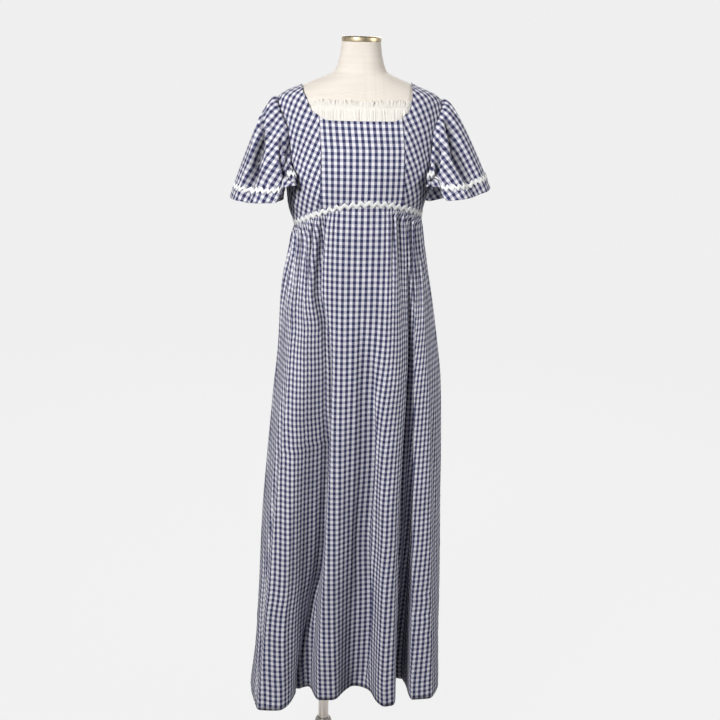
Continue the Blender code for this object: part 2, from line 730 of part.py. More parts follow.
def skirt_grid(start, end, count, zip_at=None):
    shares = np.array(SKIRT_ROWS)
    rows = []
    for share in shares:
        first, last = start, end
        if zip_at is not None:
            height = skirt(CENTRE_BACK_PLACE, share)[2]
            shift = stepped(CENTRE_BACK_PLACE, share, zip_clearance(height)) - CENTRE_BACK_PLACE
            first = start + shift if zip_at == "start" else start
            last = end - shift if zip_at == "end" else end
        rows.append(skirt(np.linspace(first, last, count), share))
    return np.array(rows)


CENTRE_BACK_PLACE = place_of_angle(180.0)


# Braid, inset and zip


def braid_rows(count):
    """The zigzag's middle line at each point, peaks and valleys in turn."""
    return BRAID_SWING * np.where(np.arange(count) % 2, -1, 1)


def over_seam(angle, down, out):
    """A point on the cloth at a drop below the empire seam, or above it where the drop is negative."""
    above = bodice(angle, seam_height(angle) + np.maximum(-down, 0), out)
    share = np.maximum(down, 0) / (seam_height(angle) - HEM_HEIGHT)
    below = skirt(place_of_angle(angle), share) + outward(angle, seam_height(angle)) * out
    return np.where(down[..., None] > 0, below, above)


def waist_braid_grid():
    end = 180 - math.degrees((ZIP_HALF + BRAID_FROM_ZIP) / half_width(seam_height(180)))
    count = 2 * round(WAIST_BRAID_LENGTH / BRAID_PITCH) + 1
    angles = np.linspace(-end, end, count)
    middle = braid_rows(count) - BRAID_RISE
    out = WALL / 2 + TRIM_WALL / 2 + BRAID_LIFT
    return np.array([over_seam(angles, middle + edge, out) for edge in (-BRAID_HALF, BRAID_HALF)])


def along_grid(grid, down, over):
    """Points of a closed grid at fractional rows and columns."""
    count = grid.shape[1]
    row = np.clip(np.floor(down).astype(int), 0, len(grid) - 2)
    column = np.floor(over).astype(int)
    a, b = (down - row)[:, None], (over - column)[:, None]
    left, right = column % count, (column + 1) % count
    upper = grid[row, left] * (1 - b) + grid[row, right] * b
    lower = grid[row + 1, left] * (1 - b) + grid[row + 1, right] * b
    return upper * (1 - a) + lower * a


def ring_normals(grid):
    """The outward direction at each point of a closed grid whose rows run down the sleeve."""
    across = np.roll(grid, -1, axis=1) - np.roll(grid, 1, axis=1)
    return unit(np.cross(across, np.gradient(grid, axis=0)))


def sleeve_braid_grid(grid):
    """A zigzag round the sleeve, with a peak on each column of the sleeve's own points, moved out."""
    outer = grid + ring_normals(grid) * (WALL / 2 + TRIM_WALL / 2 + SLEEVE_BRAID_LIFT)
    columns_round = grid.shape[1]
    over = np.arange(2 * columns_round) / 2
    steps = np.linalg.norm(np.diff(grid, axis=0), axis=-1)
    whole = np.concatenate([[0 * steps[0]], np.cumsum(steps, axis=0)])
    middle = braid_rows(len(over))
    rows = []
    for edge in (middle - BRAID_HALF, middle + BRAID_HALF):
        down = np.empty(len(over))
        for i in range(len(over)):
            path = (whole[:, i // 2] + whole[:, (i + 1) // 2 % columns_round]) / 2
            from_armhole = max(path[-1] - BRAID_ABOVE_HEM, BRAID_FROM_ARMHOLE)
            down[i] = np.interp(from_armhole + edge[i], path, np.arange(len(grid)))
        rows.append(along_grid(outer, down, over))
    return np.array(rows)


def inset_grid():
    """The gathered inset: waves flattened where the bodice covers it."""
    count = 2 * INSET_WAVES + 1
    middle = slip(INSET_LINE_HEIGHT)
    x = np.linspace(-INSET_HALF_WIDTH, INSET_HALF_WIDTH, count) + middle
    edge = np.interp(np.abs(x - middle), *columns(NECK_CURVE))
    line = 0 * x + INSET_LINE_HEIGHT
    bottom = np.minimum(edge - INSET_BELOW_EDGE, line - INSET_BELOW_LINE)
    heights = (bottom, (bottom + line) / 2 + INSET_MIDDLE_RISE, line, 0 * x + INSET_TOP_HEIGHT)
    wave = np.arange(count) % 2
    from_end = INSET_HALF_WIDTH - np.abs(x - middle)
    free = 1 - ramp(-from_end, *(-distance for distance in INSET_FLAT))
    rows = []
    for height, swing in zip(heights, INSET_SWINGS):
        angles = front_angle(x, height)
        rows.append(off_skin(angles, height, INSET_OUT + swing * wave * free))
    return np.array(rows)


def zip_chain_grid():
    """The strip between the two back edges, from the neckline down past the empire seam."""
    seam = seam_height(180.0)
    bodice_rows = np.linspace(BACK_NECK[0][1], seam, 14)
    middle = [bodice(180.0, height) for height in bodice_rows[:-1]]
    foot_share = (seam - ZIP_FOOT_HEIGHT) / (seam - HEM_HEIGHT)
    middle += [skirt(CENTRE_BACK_PLACE, share) for share in np.linspace(0, foot_share, 10)]
    middle = np.array(middle)
    return np.stack([middle + (x, 0, 0) for x in (-ZIP_HALF, 0, ZIP_HALF)], axis=1)


def zip_frame():
    """The cloth's outer face under the slider, and its outward and upward directions there."""
    out = outward(180.0, SLIDER_HEIGHT)
    seat = bodice(180.0, SLIDER_HEIGHT, WALL / 2)
    up = unit(np.cross(out, np.array([-1.0, 0, 0])))
    return seat, out, up * np.sign(up[2])


def box(name, finish, size, place, tilt):
    """A box, tilted to lie along the cloth."""
    bpy.ops.mesh.primitive_cube_add(size=1)
    made = bpy.context.object
    made.name = made.data.name = name
    made.scale = size
    bpy.ops.object.transform_apply(location=False, rotation=False, scale=True)
    made.location = place
    made.rotation_euler.x = tilt
    made.data.materials.append(finish)
    return made


def rod(name, radius, length, place, sides=16):
    bpy.ops.mesh.primitive_cylinder_add(
        vertices=sides, radius=radius, depth=length, location=place, rotation=(0, math.pi / 2, 0)
    )
    made = bpy.context.object
    made.name = made.data.name = name
    return made


def join(whole, other, operation="UNION"):
    """Unites or cuts with another object, which then stays only as a hidden helper."""
    change = whole.modifiers.new(other.name, "BOOLEAN")
    change.operation = operation
    change.object = other
    for collection in other.users_collection:
        collection.objects.unlink(other)
    HELPERS.objects.link(other)
    other.hide_render = True
    other.display_type = "WIRE"


def move_to_parts(made):
    for collection in made.users_collection:
        collection.objects.unlink(made)
    PARTS.objects.link(made)
    return made


def zip_metal(finish):
    """The slider with its two lugs and pin, and the pull that hangs from the pin."""
    seat, out, up = zip_frame()
    tilt = math.atan2(out[2], out[1])
    thick = SLIDER_SIZE[1]
    body_middle = seat + out * (GAP + thick / 2)
    slider = move_to_parts(box("zip_slider", finish, SLIDER_SIZE, body_middle, tilt))
    hinge = seat + out * (GAP + thick + EYE_RADIUS + GAP) + up * PIN_ABOVE_MIDDLE
    lug_size = (LUG_THICK, *LUG_REACH)
    for side in (-1, 1):
        offset = np.array([side * (LUG_APART + LUG_THICK) / 2, 0, 0])
        place = hinge - out * LUG_SINK + offset
        join(slider, box(f"lug_{side}", finish, lug_size, place, tilt))
    join(slider, rod("pin", PIN_RADIUS, LUG_APART + LUG_THICK, hinge))
    eye = LUG_APART - 4 * GAP
    pull = move_to_parts(rod("zip_pull", EYE_RADIUS, eye, hinge))
    pull.data.materials.append(finish)
    neck = (eye, PULL_SIZE[1], NECK_LENGTH)
    join(pull, box("pull_neck", finish, neck, hinge - up * NECK_DROP, tilt))
    blade_place = hinge - up * (BLADE_DROP + PULL_SIZE[2] / 2)
    join(pull, box("pull_blade", finish, PULL_SIZE, blade_place, tilt))
    join(pull, rod("pull_bore", EYE_BORE, LUG_APART * 2, hinge), "DIFFERENCE")


# The form and its stand


def build_form(finish):
    heights = np.append(np.linspace(FORM_FOOT, TORSO_SHOULDER, TORSO_ROWS), TORSO_TOP_ROWS)
    angles = np.linspace(0, 360, TORSO_COLUMNS, endpoint=False)

    def build(drawing):
        rows = grid_faces(drawing, skin(angles[None], heights[:, None])[::-1], closed=True)
        drawing.faces.new(rows[0])
        drawing.faces.new(rows[-1][::-1])

    add_object("dress_form", build, finish)


def build_cap(finish):
    profile = [(CAP_RADIUS - inside, NECK_TOP + GAP + above) for inside, above in CAP]
    turned("neck_cap", profile, finish, x=BODY_X)


def build_stand(steel, iron):
    turned("stand_base", BASE, iron, steps=30)
    top, foot = SOCKET_TOP - GAP, POLE_FOOT + GAP
    turned("stand_pole", ((0, top), (POLE_RADIUS, top), (POLE_RADIUS, foot), (0, foot)), steel)
    turned("pole_socket", [(radius, SOCKET_TOP - below) for radius, below in SOCKET], steel)


def build_dress(gingham, cotton, braid, metal):
    cloth("front_centre", pulled_in(front_centre_grid()), gingham)
    for side, name in ((1, "left"), (-1, "right")):
        cloth(f"side_front_{name}", pulled_in(side_front_grid(side)), gingham)
        cloth(f"bodice_back_{name}", pulled_in(back_grid(side)), gingham)
        ring = sleeve_grid(side)
        cloth(f"sleeve_{name}", ring, gingham, closed=True)
        cloth(f"sleeve_braid_{name}", sleeve_braid_grid(ring), braid, True, TRIM_WALL)
    right_side, left_side = fold_place(FIRST_SIDE), fold_place(LEFT_SIDE)
    cloth("skirt_front", pulled_in(skirt_grid(right_side, left_side, 51)), gingham)
    back = skirt_grid(left_side, CENTRE_BACK_PLACE, 25, zip_at="end")
    cloth("skirt_back_left", pulled_in(back), gingham)
    back = skirt_grid(CENTRE_BACK_PLACE, right_side + 1, 25, zip_at="start")
    cloth("skirt_back_right", pulled_in(back), gingham)
    cloth("neck_inset", inset_grid(), cotton, wall=TRIM_WALL)
    cloth("waist_braid", waist_braid_grid(), braid, wall=TRIM_WALL)
    cloth("zip_chain", pulled_in(zip_chain_grid()), gingham)
    zip_metal(metal)


for old in list(bpy.data.objects):
    bpy.data.objects.remove(old)
PARTS = bpy.data.collections.new("gingham_maxi_dress")
HELPERS = bpy.data.collections.new("cutters")
for group in (PARTS, HELPERS):
    bpy.context.scene.collection.children.link(group)

build_dress(
    gingham=material("navy gingham cotton", (0.20, 0.21, 0.32), 0.85),
    cotton=material("crinkled off-white cotton", (0.84, 0.80, 0.73), 0.9),
    braid=material("white rickrack braid", (0.93, 0.93, 0.90), 0.8),
    metal=material("zip metal", (0.45, 0.44, 0.42), 0.35, 1.0),
)
build_form(material("natural linen", (0.80, 0.74, 0.65), 0.9))
build_cap(material("antique brass", (0.38, 0.32, 0.22), 0.4, 1.0))
for made in bpy.data.objects:
    made.location.z += LIFT
build_stand(
    steel=material("brushed steel", (0.50, 0.47, 0.43), 0.35, 1.0),
    iron=material("satin steel plate", (0.42, 0.40, 0.37), 0.45, 1.0),
)
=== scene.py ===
import math
from functools import partial

import bpy
import numpy as np
from mathutils import Matrix, Vector


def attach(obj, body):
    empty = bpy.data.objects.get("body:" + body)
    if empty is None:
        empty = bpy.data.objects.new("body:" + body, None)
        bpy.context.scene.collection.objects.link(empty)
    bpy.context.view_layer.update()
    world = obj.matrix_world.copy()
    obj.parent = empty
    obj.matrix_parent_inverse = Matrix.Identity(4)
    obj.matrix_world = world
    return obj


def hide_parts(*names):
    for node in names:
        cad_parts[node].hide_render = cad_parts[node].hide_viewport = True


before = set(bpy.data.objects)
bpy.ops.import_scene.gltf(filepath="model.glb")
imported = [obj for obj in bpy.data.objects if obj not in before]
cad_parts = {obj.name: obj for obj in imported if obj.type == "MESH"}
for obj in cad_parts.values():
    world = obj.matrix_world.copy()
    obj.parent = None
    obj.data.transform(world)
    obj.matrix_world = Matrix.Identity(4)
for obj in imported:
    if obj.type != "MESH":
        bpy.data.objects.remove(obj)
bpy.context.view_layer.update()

# The dress's own sizes, in metres. The front faces -Y, and +X is the wearer's left
BODY_X = 0.056  # the torso's axis stands beside the pole
WALL = 0.0009  # cotton, with a little body
GAP = 0.0003
LIFT = 0.065  # the dress and the torso are laid out at this much lower heights, then raised onto the stand
HEM_HEIGHT = 0.210
SEAM_FRONT_HEIGHT = 1.392
SEAM_DIP = 0.046
SEAM_BACK_DIP = 0.042
SEAM_TILT = 0.0100
NECK_HEIGHT = 1.556
PRINCESS_X = 0.083
NECK_SLIP = 0.009
SLIP_HEIGHTS = (1.50, 1.625)
ZIP_HALF = 0.0033
ZIP_FOOT_HEIGHT = 1.100
BRAID_SWING = 0.0034
BRAID_HALF = 0.0044
BRAID_RISE = 0.0035
BRAID_ABOVE_HEM = 0.0275
BRAID_FROM_ARMHOLE = 0.0130
POLE_RADIUS = 0.0125
POLE_FOOT = 0.012
POLE_BORE = POLE_RADIUS + GAP
FORM_FOOT = 0.880
WAIST_BRAID_WAVES = 54
SLEEVE_BRAID_WAVES = 44
BRAID_WAVE_STEPS = 24
BRAID_ACROSS = 7
CHECK = 0.0127  # one navy and one white stripe of the gingham
HEM_STITCHES = 0.024  # the skirt's hem is stitched this far above its edge
STITCH = 0.003
SEAM_SHADE = 0.0022  # how far from a sewn edge its cloth turns in; also how far in its colour is darkened there as painted shade
EDGE_LIMIT = 0.05  # distances from an edge are kept up to this
BODICE_DEGREE = 0.0025  # metres a degree round the bodice, the form, the sleeves and the skirt
FORM_DEGREE = 0.0024
SLEEVE_DEGREE, SLEEVE_LENGTH = 0.0014, 0.21
SKIRT_DEGREE, SKIRT_LENGTH = 0.0028, 1.18
FORM_COLLAR_SEAM = 1.646
SIDE_GRAIN = 22.0  # how far the side fronts' grain leans, in degrees
GRAIN_FOLLOWS = 0.65  # how far the skirt's grain follows its folds where it is loose
NECK_ROWS = 42  # the side fronts' rows along the neck's edge
SLEEVE_ROWS, SLEEVE_COLUMNS, SLEEVE_CROWDING = 73, 193, 1.15  # rows crowd towards the seam by this power
SLEEVE_PATH_ROWS = 60
SKIRT_ROWS, SKIRT_CROWDING = 110, 1.35

# Colours as linear red, green and blue
LIGHT_CHECK = (0.75, 0.74, 0.765)
ROW_CHECK = (0.445, 0.443, 0.540)
COLUMN_CHECK = (0.198, 0.199, 0.306)
NAVY_CHECK = (0.033, 0.035, 0.108)
PATINA = (0.1, 0.09, 0.07)

# The camera: its place, the way it looks, how far it is rolled in degrees, and its lens in mm
VIEW_PLACE = (-0.13313, -2.16174, 1.71965 + LIFT)
VIEW_WAY = (0.0890873, 0.9479524, -0.3056953)
VIEW_ROLL = 1.5
VIEW_LENS = 50.35

# The lights: name, place, what it shines at, size, watts
LIGHTS = (
    ("key", (-1.65, -2.15, 2.8), (0.05, 0, 1.33), 1.1, 104),
    ("fill", (2.5, -1.0, 2.1), (0.05, 0, 1.2), 1.5, 34),
    ("back", (0.6, 2.4, 2.5), (0.05, 0, 1.3), 1.6, 60),
)
WORLD_GREY, WORLD_STRENGTH = (0.871, 0.871, 0.871, 1), 0.11
FLOOR_GREY, FLOOR_GLOW = (0.025, 0.025, 0.025, 1), (0.86, 0.86, 0.86, 1)
FLOOR_RADIUS, FLOOR_HEIGHT = 7.0, -0.0005

# The torso's sections: height, half width, front depth, back depth
TORSO = (
    (0.88, 0.14, 0.082, 0.088), (0.94, 0.147, 0.086, 0.094), (1.02, 0.149, 0.088, 0.096),
    (1.1, 0.14, 0.088, 0.09), (1.17, 0.126, 0.087, 0.08), (1.23, 0.116, 0.088, 0.078),
    (1.29, 0.121, 0.094, 0.082), (1.335, 0.129, 0.103, 0.088), (1.37, 0.136, 0.113, 0.093),
    (1.41, 0.145, 0.121, 0.099), (1.45, 0.152, 0.12, 0.103), (1.49, 0.159, 0.112, 0.104),
    (1.53, 0.166, 0.101, 0.101), (1.565, 0.17, 0.09, 0.096), (1.587, 0.169, 0.082, 0.09),
    (1.599, 0.164, 0.078, 0.086), (1.607, 0.153, 0.0745, 0.082), (1.618, 0.127, 0.07, 0.077),
    (1.631, 0.098, 0.065, 0.07), (1.642, 0.072, 0.06, 0.064), (1.651, 0.055, 0.056, 0.057),
    (1.665, 0.0485, 0.051, 0.05), (1.69, 0.0425, 0.0435, 0.043), (1.7095, 0.0403, 0.0403, 0.0403),
)
NECK_TOP = TORSO[-1][0]
FORM_ROOM = 0.0025

# The bodice hangs loose above the seam at the wearer's right side: angle, height, distance, and half extents
SLACK = (-84, 1.372, 0.0065, 24, 0.030)

# How far the cloth stands off the torso: height, distance
BODICE_EASE = (
    (1.29, 0.0038), (1.38, 0.0048), (1.44, 0.0062), (1.5, 0.0048), (1.54, 0.0034), (1.575, 0.0028),
    (1.6, 0.0028), (1.64, 0.0018),
)
FRONT_ROOM = 0.0022

# The front neckline up to the shoulder: distance from its middle, height
NECK_CURVE = (
    (0.000, NECK_HEIGHT),
    (0.060, NECK_HEIGHT + 0.0003),
    (PRINCESS_X, NECK_HEIGHT + 0.0070),
    (0.0965, NECK_HEIGHT + 0.0180),
    (0.1005, NECK_HEIGHT + 0.0270),
    (0.1030, NECK_HEIGHT + 0.0360),
    (0.1063, NECK_HEIGHT + 0.0445),
    (0.109, NECK_HEIGHT + 0.0530),
)
NECK_SIDE_X = 0.113
NECK_SIDE_ANGLES = (90, 79, 68, 58, 48)

# The back neckline: angle from the centre front, height
BACK_NECK = ((180, 1.592), (165, 1.5925), (150, 1.594), (134, 1.598), (118, 1.605), (103, 1.616))
BACK_ROW_CROWDING = 1.4

# The armhole seam: turn from the shoulder over the front, angle round the body, height
ARMHOLE = (
    (0, 90, 1.597), (40, 71, 1.572), (90, 61, 1.53), (130, 61.5, 1.483), (160, 73, 1.456), (180, 90, 1.45),
    (205, 103, 1.46), (240, 111, 1.5), (290, 110, 1.55), (330, 102, 1.583),
)
ARMHOLE_TURNS = (0, 12, 24, 37, 51, 66, 83, 101, 118, 132, 144, 155, 164, 172, 180)
SIDE_SEAM_ROWS = 4
UNDERARM_DIP = 0.010
DIP_ROWS = 2.6
DIP_PEAK = 0.105

# The sleeve's hem, in the turns of the armhole: turn, out from the body's axis, towards the back, height,
# and how far the sleeve stands out on the way down
SLEEVE_HEM = (
    (0, 0.273, 0, 1.389, 0.017), (28, 0.262, -0.038, 1.387, 0.016), (50, 0.244, -0.056, 1.387, 0.009),
    (68, 0.226, -0.08, 1.388, 0.012), (88, 0.2, -0.094, 1.39, 0.009), (102, 0.177, -0.094, 1.391, 0.004),
    (113, 0.167, -0.086, 1.405, -0.001), (125, 0.16, -0.09, 1.4225, 0.001),
    (143, 0.133, -0.098, 1.4285, 0.005), (160, 0.15, -0.058, 1.43, 0.002), (180, 0.173, -0.004, 1.426, 0),
    (200, 0.17, 0.04, 1.405, 0.001), (222, 0.158, 0.077, 1.374, 0.003), (248, 0.175, 0.096, 1.364, 0.007),
    (285, 0.213, 0.094, 1.366, 0.011), (325, 0.254, 0.056, 1.378, 0.016),
)
BULGE_PEAK = 2.17
BULGE_EARLY = 0.35
SLEEVE_TOP_POWER = 1.3
SLEEVE_MIDDLE = (88, 1.525)
SLEEVE_CENTRE = (0.185, 0.0, 1.46)
SLEEVE_FLARE = {1: 0.050, -1: 0.0}
SLEEVE_LIFT = {1: 0.027, -1: 0.0}
SLEEVE_INSET = 0.0033
SLEEVE_RISE = 0.0056
SLEEVE_TOP_RISE = 0.3
SLEEVE_RISE_START = 0.035
SLEEVE_RISE_END = 0.7
CROWDING = 17
CROWDED_TURN = 155

# The skirt's folds: angle at the seam, hem place from the body's axis, half the flat top, onset
FOLDS = (
    (-97, -0.236, -0.05, 0.025, 1), (-62, -0.194, -0.155, 0.023, 1), (-34, -0.105, -0.07, 0.006, 0.8),
    (-20, -0.06, -0.125, 0.014, 1), (4, 0.023, -0.081, 0.016, 1.15), (26, 0.09, -0.154, 0.011, 1),
    (40, 0.127, -0.052, 0.006, 0.75), (62, 0.169, -0.132, 0.02, 0.9), (88, 0.224, -0.045, 0.022, 1),
    (108, 0.188, 0.042, 0.006, 1), (124, 0.178, 0.128, 0.018, 1), (141, 0.112, 0.088, 0.008, 1),
    (158, 0.064, 0.158, 0.015, 1.1), (180, 0.001, 0.114, 0.014, 1.3), (201, -0.066, 0.16, 0.016, 1.1),
    (219, -0.12, 0.092, 0.008, 1), (236, -0.178, 0.131, 0.018, 1), (251, -0.204, 0.04, 0.008, 1),
)
FIRST_SIDE, LEFT_SIDE = 0, 8
FOLD_SPREAD = 1.5
HEM_WEIGHT = 0.55
FOLD_POWER = 1.15
HEM_OVAL = (0.232, 0.222, 0.118, 0.134)
SKIRT_SPREAD = (
    (0, 0, 0), (0.05, 0.12, 0.1), (0.1, 0.25, 0.22), (0.16, 0.33, 0.38), (0.23, 0.37, 0.54),
    (0.33, 0.48, 0.72), (0.46, 0.61, 0.8), (0.6, 0.73, 0.85), (0.75, 0.79, 0.91), (0.88, 0.85, 0.94),
    (1, 1, 1),
)

# The gathers sewn into the empire seam: angle at the seam, depth, half width in degrees
GATHERS = (
    (-90, 0.005, 4), (-74, 0.006, 4), (-57, 0.009, 4), (-45, 0.005, 3.5), (-34, 0.01, 4), (34, 0.01, 4),
    (46, 0.009, 3.5), (57, 0.008, 3.5), (72, 0.006, 4), (86, 0.005, 4), (104, 0.006, 4.5),
    (120, 0.007, 4.5), (136, 0.008, 4.5), (152, 0.007, 4.5), (210, 0.007, 4.5), (226, 0.008, 4.5),
    (241, 0.007, 4.5), (256, 0.006, 4.5),
)
GATHER_REACH = 0.30
GATHER_FULL = 0.030
GATHER_PUFF = 0.0035
SMOOTH_FRONT = 24

# The base's outer side, up from its foot: radius, height
BASE_SIDE = (
    (0.148, 0), (0.15, 0.0015), (0.15, 0.005), (0.148, 0.008), (0.14, 0.01), (0.085, 0.015), (0.048, 0.023),
    (0.031, 0.04), (0.025, 0.07), (0.0225, 0.11), (0.0195, 0.128), (0.0165, 0.1325), (0.014, 0.1355),
)

# The cap, up its outer side and over its rolled rim: how far inside its radius, height
CAP = (
    (0.0008, 0), (0.0001, 0.0006), (0, 0.0012), (0, 0.007), (0.0004, 0.0085), (0.0012, 0.0096),
    (0.0025, 0.0105), (0.004, 0.0108), (0.006, 0.0106), (0.0075, 0.01), (0.009, 0.0098), (0.03, 0.01),
)
CAP_RADIUS = 0.0408

INSET_HALF_WIDTH = 0.1075
INSET_LINE_HEIGHT = 1.583
INSET_TOP_HEIGHT = 1.5965
INSET_ROWS, INSET_COLUMNS = 46, 500

# The bodice's soft creases: from angle and height, to angle and height, half width, depth in metres
BODICE_CREASES = (
    (56, 1.47, 40, 1.44, 0.006, 0.0016), (58, 1.452, 44, 1.415, 0.007, 0.0014),
    (80, 1.44, 58, 1.4, 0.006, 0.0014), (70, 1.375, 48, 1.388, 0.005, 0.001),
    (52, 1.585, 46, 1.54, 0.005, 0.0009), (-56, 1.47, -41, 1.436, 0.006, 0.0016),
    (-60, 1.448, -46, 1.41, 0.007, 0.0013), (-78, 1.43, -60, 1.385, 0.006, 0.0018),
    (-88, 1.375, -62, 1.366, 0.006, 0.0018), (-54, 1.59, -47, 1.545, 0.005, 0.001),
    (-20, 1.386, -4, 1.392, 0.004, 0.0006), (120, 1.47, 146, 1.44, 0.007, 0.0016),
    (112, 1.44, 140, 1.395, 0.008, 0.0018), (172, 1.35, 140, 1.372, 0.006, 0.0015),
    (-122, 1.474, -148, 1.446, 0.007, 0.0016), (-110, 1.432, -138, 1.39, 0.008, 0.0018),
    (-172, 1.362, -144, 1.35, 0.006, 0.0014),
)

# The skirt's: from angle at the seam and share of the drop, to angle and share, half width in metres, depth
SKIRT_CREASES = (
    (-8, 0.1, -9, 0.3, 0.007, 0.0012), (10, 0.12, 9, 0.34, 0.008, 0.0014),
    (18, 0.06, 17, 0.4, 0.007, 0.0018), (-22, 0.04, -21, 0.3, 0.007, 0.0018),
    (31, 0.3, 35, 0.345, 0.005, 0.002), (61, 0.745, 69, 0.77, 0.006, 0.0022),
    (60, 0.79, 68, 0.82, 0.006, 0.0022), (62, 0.84, 69, 0.86, 0.006, 0.0018),
    (-70, 0.3, -73, 0.62, 0.009, 0.003), (-56, 0.55, -55, 0.98, 0.009, 0.0026),
    (-88, 0.6, -86, 0.98, 0.009, 0.003), (50, 0.45, 52, 0.8, 0.009, 0.0024),
    (76, 0.3, 79, 0.72, 0.009, 0.003), (-14, 0.55, -15, 0.95, 0.01, 0.0022),
    (15, 0.55, 16, 0.98, 0.01, 0.0024), (148, 0.55, 150, 0.9, 0.009, 0.0026),
    (210, 0.6, 208, 0.96, 0.009, 0.0024), (118, 0.62, 116, 0.92, 0.008, 0.0024),
    (232, 0.5, 234, 0.9, 0.009, 0.0026), (98, 0.4, 97, 0.86, 0.008, 0.0026),
)

# How far the deepest valley swings towards the wearer's left: share of the drop, angle at the seam, distance
SKIRT_SWAY = (
    (0, -33, 0), (0.14, -33, 0), (0.22, -33, 0.02), (0.32, -33, 0.034), (0.48, -33, 0.034),
    (0.65, -33, 0.026), (0.83, -35, 0.011), (0.96, -38, 0), (1, -38, 0),
)
SWAY_SPREAD = 11

# The skirt's long valleys, down each one: share of the drop, angle at the seam, half width towards the
# wearer's right, half width towards the left, depth
SKIRT_VALLEYS = (
    (
        (0, -37, 0.003, 0.003, 0), (0.03, -34.5, 0.004, 0.003, 0.01), (0.16, -31.5, 0.009, 0.005, 0.017),
        (0.32, -29.5, 0.016, 0.006, 0.024), (0.48, -29, 0.018, 0.006, 0.023),
        (0.65, -30, 0.018, 0.005, 0.022), (0.83, -34.5, 0.016, 0.006, 0.018),
        (0.95, -39, 0.012, 0.005, 0.014), (1, -40, 0.01, 0.005, 0.01),
    ),
    (
        (0.16, 1, 0.006, 0.006, 0), (0.32, 4, 0.014, 0.009, 0.011), (0.48, 6.5, 0.014, 0.006, 0.015),
        (0.65, 4.5, 0.014, 0.006, 0.016), (0.83, 7, 0.015, 0.007, 0.014), (0.95, 5.5, 0.013, 0.007, 0.01),
        (1, 3.5, 0.011, 0.007, 0.006),
    ),
    (
        (0, 41, 0.004, 0.003, 0), (0.02, 41, 0.004, 0.003, 0.008), (0.16, 39.5, 0.004, 0.004, 0.012),
        (0.32, 37, 0.005, 0.004, 0.019), (0.48, 34.5, 0.005, 0.004, 0.019), (0.65, 33, 0.005, 0.004, 0.017),
        (0.83, 35, 0.005, 0.004, 0.014), (1, 39, 0.005, 0.004, 0.006),
    ),
    (
        (0.48, -74, 0.006, 0.006, 0), (0.7, -76, 0.008, 0.006, 0.007), (0.9, -78, 0.01, 0.007, 0.01),
        (1, -78, 0.009, 0.007, 0.007),
    ),
    (
        (0.04, 108, 0.004, 0.004, 0), (0.2, 108, 0.006, 0.005, 0.007), (0.45, 107, 0.006, 0.012, 0.011),
        (0.75, 108, 0.006, 0.014, 0.013), (1, 109, 0.005, 0.01, 0.006),
    ),
    (
        (0.08, 140, 0.004, 0.005, 0), (0.3, 141, 0.01, 0.006, 0.008), (0.6, 142, 0.013, 0.006, 0.012),
        (1, 141, 0.01, 0.005, 0.005),
    ),
    (
        (0.05, 220, 0.004, 0.004, 0), (0.25, 219, 0.006, 0.01, 0.008), (0.55, 218, 0.006, 0.014, 0.013),
        (0.85, 219, 0.006, 0.013, 0.012), (1, 220, 0.005, 0.01, 0.006),
    ),
    (
        (0.1, 251, 0.005, 0.004, 0), (0.4, 250, 0.01, 0.006, 0.009), (0.75, 251, 0.012, 0.006, 0.011),
        (1, 252, 0.009, 0.005, 0.005),
    ),
)

# The lines that its gathering stitches draw down from the seam: angle, depth, half width, share reached
DRAWN_LINES = (
    (-84, 0.008, 0.0026, 0.25), (-76, 0.0064, 0.0022, 0.16), (-68, 0.0096, 0.0024, 0.23),
    (-62.5, 0.0096, 0.0022, 0.3), (-53.8, 0.0056, 0.002, 0.11), (-45.8, 0.0064, 0.0022, 0.17),
    (-30.3, 0.0048, 0.002, 0.1), (-22.8, 0.0029, 0.0022, 0.11), (-9.8, 0.0016, 0.0022, 0.08),
    (8.2, 0.0016, 0.0024, 0.09), (20.2, 0.0029, 0.0022, 0.14), (26.7, 0.0072, 0.0022, 0.18),
    (32.7, 0.0072, 0.004, 0.25), (48.7, 0.0088, 0.0024, 0.23), (55.2, 0.0056, 0.002, 0.13),
    (63.2, 0.008, 0.0024, 0.28), (71.2, 0.0064, 0.0022, 0.15), (80.2, 0.008, 0.0024, 0.23),
    (94, 0.0072, 0.0024, 0.21), (101, 0.0056, 0.0022, 0.13), (114, 0.008, 0.0024, 0.25),
    (121, 0.0056, 0.002, 0.11), (129, 0.008, 0.0024, 0.21), (137, 0.0064, 0.0022, 0.15),
    (146, 0.008, 0.0024, 0.24), (155, 0.0064, 0.0022, 0.14), (164, 0.0072, 0.0024, 0.2),
    (172, 0.0056, 0.0022, 0.1), (188, 0.0056, 0.0022, 0.11), (195, 0.0072, 0.0024, 0.21),
    (204, 0.0064, 0.0022, 0.14), (213, 0.008, 0.0024, 0.23), (222, 0.0056, 0.002, 0.13),
    (230, 0.008, 0.0024, 0.22), (238, 0.0064, 0.0022, 0.15), (247, 0.008, 0.0024, 0.25),
    (256, 0.0064, 0.0022, 0.16), (265, 0.008, 0.0024, 0.21),
)

